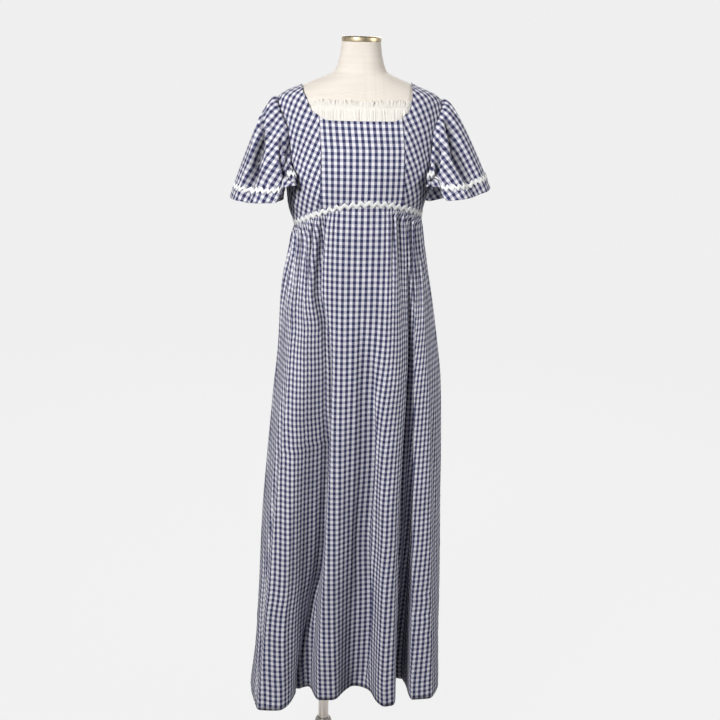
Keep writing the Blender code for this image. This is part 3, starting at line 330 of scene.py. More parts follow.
# The sleeves' small creases, by side: from turn and share of the length, to turn and share, half width, depth
SLEEVE_CREASES = {
    -1: (
        (16, 0.04, 20, 0.2, 0.004, 0.0022), (-14, 0.03, -18, 0.24, 0.005, 0.0024),
        (-30, 0.03, -38, 0.3, 0.006, 0.0026), (-48, 0.05, -62, 0.44, 0.007, 0.0032),
        (72, 0.6, 86, 0.86, 0.005, 0.004), (80, 0.27, 98, 0.34, 0.0035, 0.0024),
        (86, 0.34, 106, 0.43, 0.0035, 0.0026), (92, 0.44, 112, 0.54, 0.004, 0.0024),
        (130, 0.3, 138, 0.62, 0.004, 0.0016), (-86, 0.15, -96, 0.66, 0.008, 0.0032),
        (-116, 0.25, -126, 0.8, 0.007, 0.0026), (-150, 0.3, -152, 0.85, 0.007, 0.0026),
    ),
    1: (
        (72, 0.03, 80, 0.16, 0.004, 0.0036), (16, 0.04, 22, 0.24, 0.005, 0.0024),
        (2, 0.03, 3, 0.2, 0.005, 0.0022), (-16, 0.03, -20, 0.26, 0.005, 0.0024),
        (-34, 0.03, -42, 0.3, 0.006, 0.0026), (-52, 0.05, -66, 0.46, 0.007, 0.0032),
        (84, 0.3, 104, 0.4, 0.004, 0.0024), (90, 0.44, 112, 0.55, 0.004, 0.0022),
        (130, 0.3, 138, 0.62, 0.004, 0.0016), (-90, 0.15, -99, 0.66, 0.008, 0.0032),
        (-120, 0.25, -128, 0.8, 0.007, 0.0026), (-148, 0.3, -150, 0.8, 0.007, 0.0024),
    ),
}

# Painted shade where the sleeves' cloth lies in its own shade, by side, in the same terms as their folds
SLEEVE_PAINTED_SHADES = {
    -1: (
        (
            (0, -6, 0.006, 0.006, 0), (0.155, 5, 0.008, 0.01, 0.9), (0.24, 24, 0.01, 0.01, 1.1),
            (0.33, 37, 0.012, 0.01, 1.1), (0.47, 44, 0.014, 0.011, 1.1), (0.6, 49, 0.014, 0.011, 1.1),
            (0.74, 54, 0.013, 0.011, 1), (1, 60, 0.012, 0.012, 0.4),
        ),
        (
            (0.08, 70, 0.004, 0.004, 0), (0.2, 84, 0.006, 0.008, 0.8), (0.25, 98, 0.006, 0.01, 1),
            (0.36, 126, 0.008, 0.012, 1), (0.6, 140, 0.008, 0.012, 0.9), (1, 146, 0.008, 0.01, 0.5),
        ),
    ),
    1: (
        (
            (0, 40, 0.004, 0.004, 0), (0.05, 44, 0.006, 0.006, 0.8), (0.22, 49, 0.008, 0.01, 0.9),
            (0.36, 58, 0.009, 0.012, 0.95), (0.54, 60, 0.009, 0.012, 0.95), (0.72, 60, 0.009, 0.012, 0.8),
            (1, 58, 0.008, 0.01, 0.2),
        ),
        (
            (0, 96, 0.005, 0.008, 0), (0.14, 100, 0.005, 0.01, 0.7), (0.36, 114, 0.006, 0.012, 0.9),
            (0.6, 128, 0.008, 0.012, 0.8), (1, 147, 0.008, 0.01, 0.5),
        ),
    ),
}

# The sleeves' folds, by side, down each one: share of the length, turn, half width towards the top, half
# width towards the underarm, depth. A negative depth is a ridge
SLEEVE_FOLDS = {
    -1: (
        (
            (0.04, 0, 0.004, 0.004, 0), (0.156, 6, 0.009, 0.006, 0.01), (0.337, 34, 0.009, 0.007, 0.018),
            (0.563, 45, 0.009, 0.007, 0.018), (0.724, 51, 0.01, 0.008, 0.014), (1, 56, 0.012, 0.008, 0.007),
        ),
        (
            (0.06, -12, 0.008, 0.009, 0), (0.337, 19, 0.01, 0.01, -0.004), (0.563, 29, 0.01, 0.01, -0.004),
            (1, 40, 0.012, 0.012, 0),
        ),
        (
            (0.08, 26, 0.006, 0.006, 0), (0.181, 31.5, 0.008, 0.008, -0.003),
            (0.4, 57, 0.008, 0.009, -0.004), (0.573, 67, 0.008, 0.009, -0.004), (1, 74, 0.009, 0.009, 0),
        ),
        (
            (0.1, 70, 0.004, 0.004, 0), (0.211, 78, 0.006, 0.006, 0.01), (0.55, 112, 0.006, 0.007, 0.012),
            (0.93, 143, 0.007, 0.008, 0.007), (1, 145, 0.007, 0.008, 0.004),
        ),
    ),
    1: (
        (
            (0.02, 40, 0.004, 0.004, 0), (0.196, 53, 0.006, 0.008, 0.009), (0.477, 64, 0.007, 0.01, 0.012),
            (0.618, 63, 0.007, 0.01, 0.011), (1, 60, 0.008, 0.01, 0.004),
        ),
        (
            (0.1, 34, 0.008, 0.008, 0), (0.4, 40, 0.011, 0.011, -0.0024), (0.75, 38, 0.011, 0.011, -0.0024),
            (1, 36, 0.01, 0.01, -0.001),
        ),
        (
            (0.08, 84, 0.004, 0.004, 0), (0.22, 92, 0.006, 0.006, 0.009), (0.6, 122, 0.006, 0.007, 0.011),
            (0.93, 145, 0.007, 0.008, 0.007), (1, 147, 0.007, 0.008, 0.004),
        ),
    ),
}


def columns(table):
    return [np.array(c, float) for c in zip(*table)]


def floats(*values):
    """The values as arrays of one shape."""
    return np.broadcast_arrays(*(np.asarray(value, float) for value in values))


def wrapped(angle, low=-180):
    """The angle within the one turn that starts at low."""
    return np.mod(angle - low, 360) + low


def summed(steps, axis):
    """Lengths from the first point, by the steps between points."""
    return np.insert(np.cumsum(steps, axis=axis), 0, 0.0, axis=axis)


def smooth(knots, values, at):
    """A monotone cubic through the knots, which never overshoots between two rows."""
    knots, values, at = (np.asarray(a, float) for a in (knots, values, at))
    step = np.diff(knots)
    slope = np.diff(values) / step
    tangent = np.zeros_like(values)
    tangent[0], tangent[-1] = slope[0], slope[-1]
    same = slope[:-1] * slope[1:] > 0
    before, after = slope[:-1][same], slope[1:][same]
    tangent[1:-1][same] = 2 * before * after / (before + after)
    cell = np.clip(np.searchsorted(knots, at, side="right") - 1, 0, len(step) - 1)
    part = (at - knots[cell]) / step[cell]
    start = values[cell] * (1 + 2 * part) * (1 - part) ** 2
    end = values[cell + 1] * (3 - 2 * part) * part**2
    leave = tangent[cell] * step[cell] * part * (1 - part) ** 2
    arrive = tangent[cell + 1] * step[cell] * part**2 * (part - 1)
    return start + end + leave + arrive


def smooth_loop(knots, values, at, turn, gain=0.0):
    knots, values = np.asarray(knots, float), np.asarray(values, float)
    around = np.concatenate([knots - turn, knots, knots + turn])
    return smooth(around, np.concatenate([values - gain, values, values + gain]), at)


def ramp(value, start, end):
    part = np.clip((np.asarray(value, float) - start) / (end - start), 0, 1)
    return part * part * (3 - 2 * part)


def bell(away, width):
    """One in the middle, falling off softly to either side."""
    return np.exp(-((away / width) ** 2))


def unit(vectors):
    return vectors / np.maximum(np.linalg.norm(vectors, axis=-1, keepdims=True), 1e-12)


def waver(along, pitch, seed):
    """Uneven soft waves along a length, between about -1 and 1."""
    random = np.random.default_rng(seed)
    total = 0 * np.asarray(along, float)
    for factor, weight in ((0.62, 0.35), (0.83, 0.5), (1.0, 0.7), (1.37, 0.5), (1.9, 0.4)):
        total = total + weight * np.sin(2 * np.pi * (along / (pitch * factor) + random.random()))
    return total / 1.4


def creased(x, y, table, x_size, y_size):
    """How deep soft creases pull a surface in at x, y, whose units are these many metres long."""
    depth = 0 * np.asarray(x + y, float)
    for x0, y0, x1, y1, half_width, deep in table:
        run = np.array([(x1 - x0) * x_size, (y1 - y0) * y_size])
        length = np.hypot(*run)
        way = run / length
        from_start = np.stack([(x - x0) * x_size, (y - y0) * y_size], axis=-1)
        along = from_start @ way
        across = from_start @ np.array([-way[1], way[0]])
        bend = 0.12 * half_width * np.sin(along / length * 5 + x0)
        ends = ramp(along, -0.1 * length, 0.35 * length) * (1 - ramp(along, 0.6 * length, 1.15 * length))
        profile = bell(across - bend, half_width)
        ridge = 0.45 * bell(across - 2.1 * half_width, 1.3 * half_width)
        depth = depth + deep * ends * (profile - ridge)
    return depth


def valleys(at, share, table, size):
    """How deep long valleys lie at an angle or turn and a share of the drop. Size is metres a degree."""
    depth = 0 * (at + share)
    for rows in table:
        shares, middle, before, after, deep = columns(rows)
        along = np.clip(share, shares[0], shares[-1])
        off = wrapped(at - smooth(shares, middle, along)) * size
        half = np.where(off < 0, smooth(shares, before, along), smooth(shares, after, along))
        depth = depth + smooth(shares, deep, along) * bell(off, half)
    return depth


def drawn_valley(angle, depth, half, reach):
    """A gathering stitch's line, as a valley that widens and dies out."""
    return (
        (0.0, angle, half, half, depth),
        (0.35 * reach, angle, 1.2 * half, 1.2 * half, 0.75 * depth),
        (reach, angle, 2.2 * half, 2.2 * half, 0.0),
    )


# The torso and the cloth that lies on it


def half_width(height):
    return smooth(*columns(TORSO)[:2], height)


def half_depth(height, ahead):
    """The torso's depth before its axis or behind it."""
    heights, _, front, back = columns(TORSO)
    return np.where(ahead, smooth(heights, front, height), smooth(heights, back, height))


def skin(angle, height):
    turn = np.radians(angle)
    width, depth = half_width(height), half_depth(height, np.cos(turn) > 0)
    return np.stack([BODY_X + width * np.sin(turn), -depth * np.cos(turn), height + 0 * turn], axis=-1)


def outward(angle, height):
    across = skin(angle + 0.5, height) - skin(angle - 0.5, height)
    up = skin(angle, height + 0.001) - skin(angle, height - 0.001)
    return unit(np.cross(across, up))


def off_skin(angle, height, out):
    angle, height, out = floats(angle, height, out)
    return skin(angle, height) + outward(angle, height) * out[..., None]


def bodice(angle, height, out=0.0):
    """Points of the bodice's middle surface, moved out."""
    ahead = ramp(np.cos(np.radians(angle)), 0.45, 0.65)
    chest = ramp(height, 1.49, 1.54) * (1 - ramp(height, 1.610, 1.624))
    at_angle, at_height, slack, degrees, reach = SLACK
    across = wrapped(angle - at_angle) / degrees
    loose = slack * np.exp(-(across**2) - ((height - at_height) / reach) ** 2)
    ease = smooth(*columns(BODICE_EASE), height) + FRONT_ROOM * ahead * chest + loose
    return off_skin(angle, height, ease + out)


def draped_bodice(grid):
    """The bodice over a chart grid, with its soft creases, which fade out towards its seams."""
    angle, height = grid[..., 0], grid[..., 1]
    depth = creased(wrapped(angle), height, BODICE_CREASES, BODICE_DEGREE, 1.0)
    return bodice(angle, height, -depth * ramp(height - seam_height(wrapped(angle)), 0.0, 0.012))


def shoulder_height(x):
    heights = np.linspace(1.60, 1.65, 200)
    return np.interp(-abs(x), -half_width(heights), heights)


def seam_height(angle):
    sine, cosine = np.sin(np.radians(angle)), np.cos(np.radians(angle))
    fall = np.where(cosine > 0, SEAM_DIP * sine**2, SEAM_DIP + SEAM_BACK_DIP * cosine**2)
    return SEAM_FRONT_HEIGHT - fall + SEAM_TILT * sine


def slip(height):
    return -NECK_SLIP * np.interp(height, SLIP_HEIGHTS, (0, 1))


def front_angle(x, height):
    return np.degrees(np.arcsin(np.clip(x / half_width(height), -1, 1)))


def neck_height(x):
    return smooth(*columns(NECK_CURVE), np.abs(x - slip(NECK_HEIGHT)))


def armhole(turn):
    turns, *places = columns(ARMHOLE)
    return [smooth_loop(turns, values, turn, 360) for values in places]


def chart(angles, heights):
    return np.stack(floats(angles, heights), axis=-1)


def fill(left, right, top, bottom):
    """Chart points between four edges: left and right run down the panel, top and bottom across it."""
    down = np.linspace(0, 1, len(left))[:, None, None]
    over = np.linspace(0, 1, len(top))[None, :, None]
    sides = (1 - over) * left[:, None] + over * right[:, None]
    ends = (1 - down) * top[None] + down * bottom[None]
    start = (1 - over) * left[0] + over * right[0]
    finish = (1 - over) * left[-1] + over * right[-1]
    return sides + ends - (1 - down) * start - down * finish


def refined(grid, rows, count):
    """A grid with more rows and columns, smoothly between its own."""
    for axis, size in ((0, rows), (1, count)):
        at = np.linspace(0, grid.shape[axis] - 1, size)
        grid = np.apply_along_axis(lambda line: smooth(np.arange(len(line)), line, at), axis, grid)
    return grid


def neck_edge(side):
    over = np.array(NECK_SIDE_ANGLES, float)
    across = np.linspace(NECK_SIDE_X, NECK_CURVE[-1][0] + 0.001, len(over)) + side * slip(1.615)
    ridge = shoulder_height(across / np.sin(np.radians(over)))
    offsets, heights = columns(NECK_CURVE[-2:1:-1])
    angles = front_angle(offsets + side * slip(heights), heights)
    return chart(np.append(over, angles), np.append(ridge, heights))


def princess_edge(side, count):
    heights = np.linspace(NECK_CURVE[2][1], seam_height(side * 37), count)
    angles = front_angle(PRINCESS_X + side * slip(heights), heights)
    heights[-1] = seam_height(side * angles[-1])
    return chart(angles, heights)


def outer_edge(side, through_front):
    turns = np.array(ARMHOLE_TURNS, float)
    angles, heights = armhole(turns if through_front else 360 - turns)
    side_rows = np.linspace(heights[-1], seam_height(side * 90), SIDE_SEAM_ROWS + 1)[1:]
    return chart(np.append(angles, 90 + 0 * side_rows), np.append(heights, side_rows))


def seam_edge(side, start, end, count):
    angles = np.linspace(start, end, count)
    return chart(angles, seam_height(side * angles))


def front_centre_chart():
    rows = 64
    right, left = (princess_edge(side, rows) for side in (-1, 1))
    over = np.linspace(0, 1, 81)
    angles = -right[:, :1] * (1 - over) + left[:, :1] * over
    levels = right[:, 1:] * (1 - over) + left[:, 1:] * over
    share = np.linspace(0, 1, rows)[:, None]
    top = neck_height(PRINCESS_X * (2 * over - 1) + slip(NECK_HEIGHT)) - levels[0]
    bottom = seam_height(angles[-1]) - levels[-1]
    return chart(angles, levels + (1 - share) * top + share * bottom)


def underarm_dip(count, rows, across):
    row = np.arange(rows)[:, None]
    over = np.linspace(0, 1, across)[None]
    near = bell(row - count, DIP_ROWS) * (rows - 1 - row) / (rows - 1 - count)
    return UNDERARM_DIP * near * over**2 * (1 - over) / DIP_PEAK


def side_front_chart(side):
    inner = np.concatenate([neck_edge(side), princess_edge(side, 10)[1:]])
    outer = outer_edge(side, through_front=True)
    shoulder = np.linspace(inner[0], outer[0], 8)
    seam = seam_edge(side, inner[-1][0], 90, 8)
    points = fill(inner, outer, shoulder, seam)
    points[..., 1] -= underarm_dip(len(ARMHOLE_TURNS) - 1, *points.shape[:2])
    return refined(points, 100, 56) * (side, 1)


def back_chart(side):
    neck_point = neck_edge(side)[0]
    outer = outer_edge(side, through_front=False)
    share = np.linspace(0, 1, len(outer)) ** BACK_ROW_CROWDING
    heights = BACK_NECK[0][1] + (seam_height(180) - BACK_NECK[0][1]) * share
    from_zip = np.degrees((ZIP_HALF + GAP) / half_width(heights))
    inner = chart(180 - from_zip, heights)
    neck = np.array([inner[0], *BACK_NECK[1:], neck_point], float)
    shoulder = np.linspace(neck_point, outer[0], 5)
    top = np.concatenate([neck, shoulder[1:]])
    seam = seam_edge(side, inner[-1][0], 90, len(top))
    return refined(fill(inner, outer, top, seam), 100, 81) * (side, 1)


# The sleeves


def plain_sleeve(side, turn, share):
    turn, share = floats(turn, share)
    turns, *sizes = columns(SLEEVE_HEM)
    out, back, height, bulge = (smooth_loop(turns, size, turn, 360) for size in sizes)
    topness = ((1 + np.cos(np.radians(turn))) / 2) ** SLEEVE_TOP_POWER
    away = BODY_X + side * (1 + SLEEVE_FLARE[side] * topness) * out
    hem = np.stack([away, back, height + SLEEVE_LIFT[side] * topness], axis=-1)
    angles, heights = armhole(turn)
    seam = bodice(side * angles, heights)
    middle = bodice(side * SLEEVE_MIDDLE[0], SLEEVE_MIDDLE[1])
    start = seam + unit(middle - seam) * SLEEVE_INSET
    rise = outward(side * angles, heights) * SLEEVE_RISE
    rise = rise * (1 - (1 - SLEEVE_TOP_RISE) * topness[..., None])
    centre = np.array([BODY_X, 0, 0]) + np.array(SLEEVE_CENTRE) * (side, 1, 1)
    away = unit((start + hem) / 2 - centre)
    lift = bulge * BULGE_PEAK * share**BULGE_EARLY * (1 - share)
    risen = ramp(share, 0, SLEEVE_RISE_START) * (1 - ramp(share, SLEEVE_RISE_START, SLEEVE_RISE_END))
    return start + (hem - start) * share[..., None] + away * lift[..., None] + rise * risen[..., None]


def sleeve_turns(count):
    """Turns once round a sleeve from its underarm seam."""
    even = np.linspace(-180, 180, count)
    return even - CROWDING * np.sin(np.radians(even - CROWDED_TURN))


def normals_of(points, closed=False):
    """The outward direction at each point of a grid whose rows run down the piece."""
    if closed:
        across = np.roll(points[:, :-1], -1, axis=1) - np.roll(points[:, :-1], 1, axis=1)
        across = np.concatenate([across, across[:, :1]], axis=1)
    else:
        across = np.gradient(points, axis=1)
    return unit(np.cross(across, np.gradient(points, axis=0)))


def sleeve_folds(side, turn, share, table):
    """How strong a sleeve's folds or painted shades are, and the surface's step round it at each point."""
    step = plain_sleeve(side, turn + 0.4, share) - plain_sleeve(side, turn - 0.4, share)
    size = np.clip(np.linalg.norm(step, axis=-1) / 0.8, 0.0008, 0.0040)
    return valleys(turn, share, table[side], size) * ramp(share, 0.02, 0.10), step


# How strongly a sleeve's colour is darkened as painted shade in its folds, from 0 to 1
def sleeve_hollow(side, turn, share):
    turn, share = floats(turn, share)
    return np.clip(sleeve_folds(side, turn, share, SLEEVE_PAINTED_SHADES)[0], 0, 1)


def sleeve(side, turn, share, out=0.0):
    """The draped sleeve's surface, moved out along its normals. Its columns go round once and meet."""
    turn, share = floats(turn, share)
    about = wrapped(turn)
    folds, step = sleeve_folds(side, turn, share, SLEEVE_FOLDS)
    depth = folds + creased(about, share, SLEEVE_CREASES[side], SLEEVE_DEGREE, SLEEVE_LENGTH)
    cap = ramp(np.cos(np.radians(turn)), -0.3, 0.6) * ramp(share, 0.0, 0.06) * (1 - ramp(share, 0.08, 0.30))
    depth = depth + 0.0011 * waver(about * 0.00117, 0.009, 11) * cap
    points = plain_sleeve(side, turn, share)
    lower, upper = (plain_sleeve(side, turn, np.clip(share + step_down, 0, 1)) for step_down in (0.01, -0.01))
    way = unit(np.cross(step, lower - upper)) * side
    return points + way * (out - depth)[..., None]


# The skirt


def fold_knots():
    angle, x, y, flat, onset = zip(*FOLDS)
    place = np.array([x, y], float).T
    along = unit(np.roll(place, -1, axis=0) - np.roll(place, 1, axis=0))
    flats = along * np.array(flat)[:, None]
    hem = np.stack([place - flats, place + flats], axis=1).reshape(-1, 2)
    angles = np.stack([np.array(angle) - FOLD_SPREAD, np.array(angle) + FOLD_SPREAD], axis=1).reshape(-1)
    onsets = np.repeat(onset, 2)
    hem_step = np.linalg.norm(np.roll(hem, -1, axis=0) - hem, axis=1)
    angle_step = np.diff(np.append(angles, angles[0] + 360))
    step = HEM_WEIGHT * hem_step / hem_step.sum() + (1 - HEM_WEIGHT) * angle_step / 360
    knots = np.concatenate([[0], np.cumsum(step)[:-1]])
    return knots, angles, hem, onsets


KNOTS, KNOT_ANGLES, KNOT_HEM, KNOT_ONSETS = fold_knots()


def oval(hem):
    right, left, front, back = HEM_OVAL
    width = np.where(hem[..., 0] > 0, left, right)
    depth = np.where(hem[..., 1] > 0, back, front)
    turn = np.arctan2(hem[..., 0] / width, -hem[..., 1] / depth)
    return np.stack([width * np.sin(turn), -depth * np.cos(turn)], axis=-1)


KNOT_OVAL = oval(KNOT_HEM)


def angle_at(place):
    return smooth_loop(KNOTS, KNOT_ANGLES, place, 1.0, 360)


def gather(angle, drop):
    angle = wrapped(angle, -100)
    drawn = sum(depth * bell(angle - at, width) for at, depth, width in GATHERS)
    quiet = np.exp(-((angle / SMOOTH_FRONT) ** 4))
    fade = ramp(drop, 0, GATHER_FULL) * (1 - ramp(drop, GATHER_FULL, GATHER_REACH))
    return (GATHER_PUFF * (1 - quiet) - drawn) * fade


def plain_skirt(place, share):
    place, share = floats(place, share)
    angle = angle_at(place)
    hem, plain = (
        np.stack([smooth_loop(KNOTS, line, place, 1.0) for line in knots.T], axis=-1)
        for knots in (KNOT_HEM, KNOT_OVAL)
    )
    onset = smooth_loop(KNOTS, KNOT_ONSETS, place, 1.0)
    top = bodice(angle, seam_height(angle))
    shares, right, left = columns(SKIRT_SPREAD)
    leftness = (1 + np.sin(np.radians(angle))) / 2
    spread = (1 - leftness) * smooth(shares, right, share) + leftness * smooth(shares, left, share)
    fold = np.clip(share, 1e-6, 1) ** (FOLD_POWER * onset)
    drop = share * (top[..., 2] - HEM_HEIGHT)
    way = outward(angle, seam_height(angle))[..., :2]
    seam = top[..., :2] - np.array([BODY_X, 0])
    flat = seam + (plain - seam) * spread[..., None] + (hem - plain) * fold[..., None]
    flat = flat + unit(way) * gather(angle, drop)[..., None] + np.array([BODY_X, 0])
    return np.concatenate([flat, (top[..., 2] - drop)[..., None]], axis=-1)


def place_of_angle(angle):
    places = np.linspace(-0.5, 1.5, 4001)
    return np.interp(angle, angle_at(places), places)


CENTRE_BACK_PLACE = place_of_angle(180.0)
CENTRE_FRONT_PLACE = place_of_angle(0.0)


def clear_of_form(points):
    """Points kept off the form's linen down to its foot."""
    height = np.clip(points[..., 2], FORM_FOOT, NECK_TOP)
    wide, deep = half_width(height) + FORM_ROOM, half_depth(height, points[..., 1] < 0) + FORM_ROOM
    reach = np.hypot((points[..., 0] - BODY_X) / wide, points[..., 1] / deep)
    push = np.maximum(1 / reach - 1, 0) * ramp(points[..., 2], FORM_FOOT - 0.03, FORM_FOOT)
    middle = np.stack([BODY_X + 0 * push, 0 * push, points[..., 2]], axis=-1)
    return points + (points - middle) * push[..., None]


def skirt_valleys(angle, share):
    return valleys(angle, share, SKIRT_VALLEYS, 0.0024 + 0.0030 * share)


# How strongly the skirt's colour is darkened as painted shade in its deep valleys, from 0 to 1
def skirt_hollow(angle, share):
    return ramp(skirt_valleys(wrapped(angle, -100), share), 0.012, 0.022)


def skirt(place, share, out=0.0):
    """The draped skirt's surface: its folds, with creases, fine gathers and slow ripples."""
    place, share = floats(place, share)
    angle = angle_at(place)
    about = wrapped(angle, -100)
    drop = share * (seam_height(angle) - HEM_HEIGHT)
    depth = creased(about, share, SKIRT_CREASES, SKIRT_DEGREE, SKIRT_LENGTH)
    depth = depth + skirt_valleys(about, share)
    depth = depth + valleys(about, share, DRAWN_VALLEYS, 0.0024)
    full = 1 - 0.8 * np.exp(-((about / SMOOTH_FRONT) ** 4))
    fine = ramp(drop, 0.003, 0.014) * (1 - ramp(drop, 0.03, 0.15))
    depth = depth * ramp(drop, 0.005, 0.020) + 0.0011 * waver(about * 0.0024, 0.0115, 7) * full * fine
    depth = depth + 0.0011 * waver(about * 0.0028 + 0.01 * share, 0.045, 9) * ramp(share, 0.1, 0.4)
    depth = depth * (1 - bell((place - CENTRE_BACK_PLACE) * 1.7, 0.008))
    across = plain_skirt(place + 1e-3, share) - plain_skirt(place - 1e-3, share)
    way = unit(np.stack([across[..., 1], -across[..., 0], 0 * share], axis=-1))
    points = plain_skirt(place, share) - way * depth[..., None]
    shares, angles, shifts = columns(SKIRT_SWAY)
    points[..., 0] += smooth(shares, shifts, share) * bell(about - smooth(shares, angles, share), SWAY_SPREAD)
    return clear_of_form(points) + way * out


DRAWN_VALLEYS = [drawn_valley(*line) for line in DRAWN_LINES]
SKIRT_SHARES = np.linspace(0, 1, SKIRT_ROWS) ** SKIRT_CROWDING


def zip_clearance(height):
    return (ZIP_HALF + 2 * GAP) * ramp(height, ZIP_FOOT_HEIGHT - 0.020, ZIP_FOOT_HEIGHT - 0.002)


def skirt_grid(start, end, count, zip_at):
    """A skirt panel's points between two places of the seam, clear of the zip at one end."""
    grid = []
    for share in SKIRT_SHARES:
        first, last = start, end
        if zip_at is not None:
            point = plain_skirt(CENTRE_BACK_PLACE, share)
            reach = np.linalg.norm(plain_skirt(CENTRE_BACK_PLACE + 1e-4, share) - point) / 1e-4
            shift = zip_clearance(point[2]) / reach
            first = start + shift if zip_at == "start" else start
            last = end - shift if zip_at == "end" else end
        grid.append(skirt(np.linspace(first, last, count), share))
    return np.array(grid)


# Meshes


def lay_out(points, origin=0.0):
    """Cloth coordinates in metres: along each row from the given share of it, and down each column."""
    down, across = (summed(np.linalg.norm(np.diff(points, axis=axis), axis=-1), axis) for axis in (0, 1))
    return across - across[:, [round(origin * (points.shape[1] - 1))]], down


def relaxed(points, flat, passes):
    """A flat layout of a grid whose edges and diagonals have come back to their real lengths."""
    rows, count = points.shape[:2]
    pairs = []
    for down, over in ((0, 1), (1, 0), (1, 1), (1, -1)):
        first = (slice(0, rows - down), slice(max(-over, 0), count - max(over, 0)))
        second = (slice(down, rows), slice(max(over, 0), count - max(-over, 0)))
        pairs.append((first, second, np.linalg.norm(points[second] - points[first], axis=-1)))
    ties = np.zeros(points.shape[:2])
    for first, second, _ in pairs:
        ties[first] += 1
        ties[second] += 1
    for _ in range(passes):
        move = np.zeros_like(flat)
        for first, second, length in pairs:
            apart = flat[second] - flat[first]
            pull = apart * (0.5 - 0.5 * length / np.linalg.norm(apart, axis=-1))[..., None]
            move[first] += pull
            move[second] -= pull
        flat = flat + move * (1.5 / ties)[..., None]
    return flat


def panel_layout(points, row_step, column_step, upright, column=0):
    """Cloth coordinates of a panel pressed flat, turned so that one column is upright between two rows."""
    across, down = lay_out(points, column / (points.shape[1] - 1))
    start = np.stack([across, down[:, [column]] + 0 * down], axis=-1)
    coarse = relaxed(points[::row_step, ::column_step], start[::row_step, ::column_step], 3000)
    flat = relaxed(points, refined(coarse, *points.shape[:2]), 200)
    way = unit(flat[upright[1], column] - flat[upright[0], column])
    return flat @ np.array([way[1], -way[0]]), flat @ way


def fanned(points, loose, origin):
    """Cloth coordinates of a gathered panel: where it is loose, its grain lines mostly follow its folds."""
    steps = np.linalg.norm(np.diff(points, axis=1), axis=-1)
    loose = (loose[:-1] + loose[1:]) / 2
    half = round(origin * (points.shape[1] - 1))
    for part in (slice(0, half), slice(half, steps.shape[1])):
        if part.stop > part.start:
            whole = steps[:, part].sum(axis=1)
            wanted = whole + GRAIN_FOLLOWS * (whole.max() - whole)
            gain = (wanted - whole) / (steps[:, part] * loose[part]).sum(axis=1)
            steps[:, part] = steps[:, part] * (1 + gain[:, None] * loose[part])
    across = summed(steps, 1)
    return across - across[:, [half]]


def turned_grain(across, down, degrees, shift=(0.0, 0.0)):
    turn = np.radians(degrees)
    u = across * np.cos(turn) - down * np.sin(turn) + shift[0]
    v = across * np.sin(turn) + down * np.cos(turn) + shift[1]
    return np.stack([u, -v], axis=-1)


def from_edges(points, sewn):
    """Each point's distance from the nearest sewn edge, out of top, bottom, start and end."""
    across, down = lay_out(points)
    inward = {"top": down, "bottom": down[-1] - down, "start": across, "end": across[:, -1:] - across}
    return np.min([np.full(down.shape, 1.0), *(inward[edge] for edge in sewn)], axis=0)


def add_object(name, data):
    thing = bpy.data.objects.new(name, data)
    bpy.context.scene.collection.objects.link(thing)
    return thing


def mesh_piece(name, points, cloth_at, material, wall=WALL, flip=False, **values):
    """A piece of cloth on a grid of points, with its cloth coordinates and other values at each point."""
    rows, count = points.shape[:2]
    index = np.arange(rows * count).reshape(rows, count)
    corners = [index[:-1, :-1], index[1:, :-1], index[1:, 1:], index[:-1, 1:]]
    if flip:
        corners = corners[::-1]
    faces = np.stack(corners, axis=-1).reshape(-1, 4)
    mesh = bpy.data.meshes.new(name)
    mesh.from_pydata((points + (0, 0, LIFT)).reshape(-1, 3).tolist(), [], faces.tolist())
    layer = mesh.uv_layers.new(name="cloth")
    layer.data.foreach_set("uv", cloth_at.reshape(-1, 2)[faces.reshape(-1)].astype(np.float32).reshape(-1))
    for key, value in values.items():
        attribute = mesh.attributes.new(key, "FLOAT", "POINT")
        attribute.data.foreach_set("value", value.astype(np.float32).reshape(-1))
    mesh.materials.append(material)
    mesh.shade_smooth()
    piece = add_object(name, mesh)
    if wall:
        solidify = piece.modifiers.new("wall", "SOLIDIFY")
        solidify.thickness = wall
        solidify.offset = 0
    return piece


def cloth_piece(
    node, points, cloth_at, material, sewn, flat, area,
    held="stretched", rests=("form",), flip=False, hollow=0.0,
):
    """A panel that stands for a CAD node. Its sewn edges turn in a little, as at a seam."""
    name = f"{node}_cloth"
    edge = from_edges(points, sewn)
    normals = normals_of(points) * (-1 if flip else 1)
    ditch = 0.0011 * bell(edge, SEAM_SHADE)
    ease = 0.00045 * waver(cloth_at.sum(axis=-1), 0.008, len(name)) * bell(edge, 0.008)
    points = points - normals * (ditch + ease)[..., None]
    hem = from_edges(points, ("bottom",)) if node.startswith("skirt") else 1 + 0 * edge
    values = {"edge": np.minimum(edge, EDGE_LIMIT), "hem": np.minimum(hem, EDGE_LIMIT)}
    # hollow is how strongly the cloth's colour is darkened as painted shade in its folds
    piece = mesh_piece(name, points, cloth_at, material, flip=flip, hollow=hollow + 0 * edge, **values)
    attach(piece, "dress")
    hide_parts(node)
    return piece


# Shader nodes


def feed(tree, socket, value):
    """Another node's output, a number or a colour into a socket."""
    if isinstance(value, bpy.types.NodeSocket):
        tree.links.new(value, socket)
    else:
        socket.default_value = value


def add_node(tree, kind, inputs=None, **settings):
    node = tree.nodes.new(f"ShaderNode{kind}")
    for name, setting in settings.items():
        setattr(node, name, setting)
    for label, value in (inputs or {}).items():
        feed(tree, node.inputs[label], value)
    return node


def math_node(tree, operation, *values):
    return add_node(tree, "Math", dict(enumerate(values)), operation=operation).outputs[0]


def blend(tree, factor, first, second, mode="MIX"):
    """A mix of two colours, which are sockets or linear red, green and blue."""
    node = add_node(tree, "Mix", data_type="RGBA", blend_type=mode)
    for index, value in ((0, factor), (6, first), (7, second)):
        feed(tree, node.inputs[index], (*value, 1) if isinstance(value, tuple) else value)
    return node.outputs[2]


def noise(tree, place, scale, detail, rough=0.5):
    inputs = {"Vector": place, "Scale": scale, "Detail": detail, "Roughness": rough}
    return add_node(tree, "TexNoise", inputs).outputs["Fac"]


